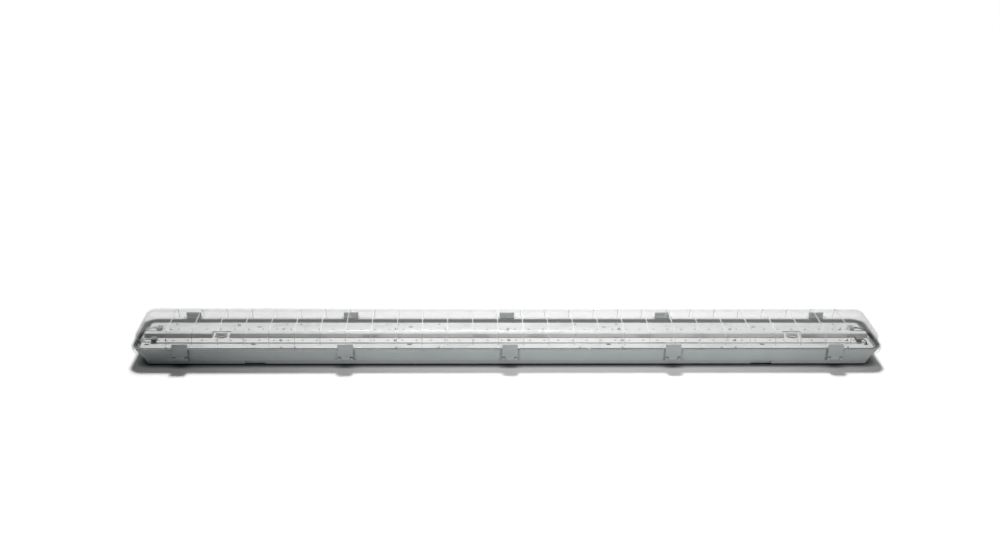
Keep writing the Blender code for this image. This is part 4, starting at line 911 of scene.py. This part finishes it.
WIRE_SPREAD, WIRE_TOGETHER, WIRE_RADIUS = 2.6 * MM, 0.85 * MM, 0.8 * MM
entry_profile = np.array([
    (0.85, -0.9), (1.15, -0.2), (1.45, 0.0), (1.45, 0.22), (1.1, 0.22), (0.85, -0.3), (0.85, -0.9)]) * MM
for row, flank, end, side in QUARTERS:
    name = f"board_connector_{row}_{end}"
    low, high = [np.array(corner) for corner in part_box(name)]
    face_x = high[0] if side > 0 else low[0]
    middle = (low + high) / 2
    grids = [connector_block(low, high, side)]
    grids += [turned(entry_profile, (face_x, middle[1] + way * WIRE_SPREAD, middle[2]), (side, 0, 0), 16)
              for way in (-1, 1)]
    block = make_piece(f"{name}_body", grids, connector_grey, "body", [name])
    round_edges(block, 0.12 * MM)
print("connectors:", len(QUARTERS), "with two entries each")

# %% [markdown]
# From each connector a pair of thin wires runs over the tray's end, or through its end slot, and back
# under it to the driver. The route repeats the CAD lead's points, rounded by the same Catmull-Rom curve,
# with more steps. A tube is a circle carried along that curve, and the two wires lie side by side, spread
# where they enter.

# %% Wires from the boards to the driver
ACROSS = np.array([0.0, 1.0, 0.0])


def catmull_rom(points, steps):
    """A smooth curve through all points: between two of them a cubic with slopes from their neighbours."""
    points = np.asarray(points, float)
    ends = np.concatenate([2 * points[:1] - points[1:2], points, 2 * points[-1:] - points[-2:-1]])
    before, start, end, after = [ends[first:first + len(points) - 1, None] for first in range(4)]
    t = np.linspace(0.0, 1.0, steps, endpoint=False)[None, :, None]
    curve = start + ((end - before) * t + (2 * before - 5 * start + 4 * end - after) * t ** 2
                     + (3 * start - before - 3 * end + after) * t ** 3) / 2
    return np.concatenate([curve.reshape(-1, 3), points[-1:]])


def tube(path, radius, sides):
    """A circle carried along a path: its two axes are square to the path, the first as near Y as can be."""
    along = np.gradient(path, axis=0)
    along /= np.linalg.norm(along, axis=1, keepdims=True)
    first = ACROSS - along[:, 1:2] * along
    first /= np.linalg.norm(first, axis=1, keepdims=True)
    second = np.cross(along, first)
    angle = np.linspace(0.0, 2 * np.pi, sides, endpoint=False)[None, :, None]
    points = path[:, None] + radius * (np.cos(angle) * first[:, None] + np.sin(angle) * second[:, None])
    return points, grid_faces(len(path), sides, wrap_columns=True, caps=True)


PLUG_Z, RUN_Z, DRIVER_Z = 31.35 * MM, 17.0 * MM, 17.0 * MM
BOARD_END, TRAY_END, OVER_X = 604.0 * MM, 619.8 * MM, 623.3 * MM
CREST_RUN, TURN_RUN = 7.9 * MM, 15.8 * MM
END_SLOT_X, END_SLOT_Y = 610.3 * MM, 39.35 * MM
KNOB_X, DRIVER_FACE, FAN = 490.5 * MM, 180.3 * MM, 10.0 * MM


def lead_points(row, end, side, flank):
    """The route's own points, as the CAD lead has them."""
    y = flank * ROW_Y
    dip_x, dip_y = OVER_X, y
    crest = (side * (BOARD_END + CREST_RUN), y, PLUG_Z)
    if (row, end) == ("front", "right"):
        dip_x, dip_y = END_SLOT_X, flank * END_SLOT_Y
        crest = (side * END_SLOT_X, flank * (END_SLOT_Y - 3.0 * MM), PLUG_Z)
    return [
        (side * (BOARD_END + 0.3 * MM), y, PLUG_Z),
        (side * (BOARD_END + CREST_RUN / 2), y, PLUG_Z),
        crest,
        (side * dip_x, dip_y, TRAY_TOP + 1.0 * MM),
        (side * dip_x, dip_y, TRAY_TOP - 1.8 * MM),
        (side * (TRAY_END - TURN_RUN), y, RUN_Z),
        (side * (TRAY_END - TURN_RUN * 2), y, RUN_Z),
        (side * KNOB_X, y, RUN_Z),
        (side * (KNOB_X + DRIVER_FACE) / 2, y, RUN_Z),
        (side * (DRIVER_FACE + FAN * 3), flank * FAN, DRIVER_Z),
        (side * (DRIVER_FACE + 11.0 * MM), flank * FAN, DRIVER_Z),
        (side * DRIVER_FACE, flank * FAN, DRIVER_Z),
    ]


lead_finish = {"left": (pale_pvc, "pale_insulation"), "right": (black_pvc, "dark_insulation")}
for row, flank, end, side in QUARTERS:
    route = catmull_rom(lead_points(row, end, side, flank), 9)
    run = np.concatenate([[0.0], np.cumsum(np.linalg.norm(np.diff(route, axis=0), axis=1))])
    apart = WIRE_TOGETHER + (WIRE_SPREAD - WIRE_TOGETHER) * np.exp(-run / (4.0 * MM))
    wires = [tube(route + way * apart[:, None] * ACROSS, WIRE_RADIUS, 10) for way in (-1, 1)]
    name = f"board_lead_{row}_{end}"
    insulation, slot = lead_finish[end]
    make_piece(f"{name}_wires", wires, insulation, "body", [name])
    print(name, "is", round(float(run[-1]) * 1000), "mm long")

# %% [markdown]
# Two quarter-turn knobs hold the tray. Each is a shallow dish with a grip bar across it, so that two
# D-shaped pockets lie beside the bar. The dish and its shank are turned, and the bar is a lofted block.

# %% Tray knobs
dish_profile = np.array([
    (0, 0.9), (8.8, 0.9), (9.3, 1.2), (9.5, 2.05), (9.75, 2.2), (10.4, 2.2), (10.7, 2.05), (10.8, 1.7),
    (10.8, 0.1), (10.7, 0.0), (4.0, 0.0), (4.0, -9.4), (3.4, -10.0), (0, -10.0)]) * MM
GRIP_REACH, GRIP_HALF, GRIP_TOP, GRIP_LOW = 9.6 * MM, 2.1 * MM, 5.2 * MM, 0.6 * MM


def grip_bar():
    """The bar across the dish: sections along X, rounded at both ends and along the top."""
    edge = np.array([0, 0.08, 0.3, 0.7, 1.2]) * MM
    along = np.concatenate([edge - GRIP_REACH, GRIP_REACH - edge[::-1]])
    edge = GRIP_REACH - np.abs(along)
    half_y = softened(np.full_like(along, GRIP_HALF), edge, 1.0 * MM)
    top = softened(np.full_like(along, GRIP_TOP), edge, 0.9 * MM)
    centres = np.stack([along, np.zeros_like(along), (top + GRIP_LOW) / 2], axis=-1)
    return rounded_block(centres, half_y, (top - GRIP_LOW) / 2, 0.6 * MM, (0, 1, 0), (0, 0, 1))


knob_grids = [turned(dish_profile, (0, 0, 0), (0, 0, 1), 48), grip_bar()]
for name in ("tray_knob_left", "tray_knob_right"):
    low, high = [np.array(corner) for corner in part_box(name)]
    seat = np.array([(low[0] + high[0]) / 2, 0.0, high[2] - GRIP_TOP])
    make_piece(f"{name}_dish", [(grid + seat, cells) for grid, cells in knob_grids], knob_nylon, name,
               [name])
    print(name, "turns about x =", round(float(seat[0]) / MM, 1), "mm")

# %% [markdown]
# The pieces that keep their CAD shape get their finish in their own material slots. Their meshes are
# loose triangles, so a Weld joins them and an Edge Split keeps true edges sharp while round walls shade
# smoothly.

# %% Finishes for the CAD pieces that stay
SPLIT_ANGLE = 32.0


def dress(node, material):
    """Puts a finish on a CAD piece and lets its round faces shade smoothly."""
    piece = frame["nodes"][node]
    for slot in piece.material_slots:
        slot.material = material
    piece.data.polygons.foreach_set("use_smooth", np.ones(len(piece.data.polygons), bool))
    weld = piece.modifiers.new("weld", "WELD")
    weld.merge_threshold = SLIVER
    sharp = piece.modifiers.new("sharp_edges", "EDGE_SPLIT")
    sharp.split_angle = math.radians(SPLIT_ANGLE)


finishes = {
    "housing": housing_grey, "gear_tray": tray_white, "driver": case_white,
    "terminal_block": nylon_white, "supply_lead_live": black_pvc, "supply_lead_neutral": black_pvc,
    "earth_lead": pale_pvc,
}
for end in ("left", "right"):
    finishes[f"entry_plug_{end}"] = fitting_grey
    finishes[f"entry_nut_{end}"] = fitting_grey
    finishes[f"entry_washer_{end}"] = seal_foam
for row, _, end, _ in QUARTERS:
    finishes[f"led_board_{row}_{end}"] = mask_white
    finishes[f"driver_screw_{row}_{end}"] = zinc_plate
for name, material in finishes.items():
    dress(name, material)
bare = [name for name, piece in frame["nodes"].items() if not piece.hide_render and name not in finishes]
print("dressed:", len(finishes), "still bare:", bare)
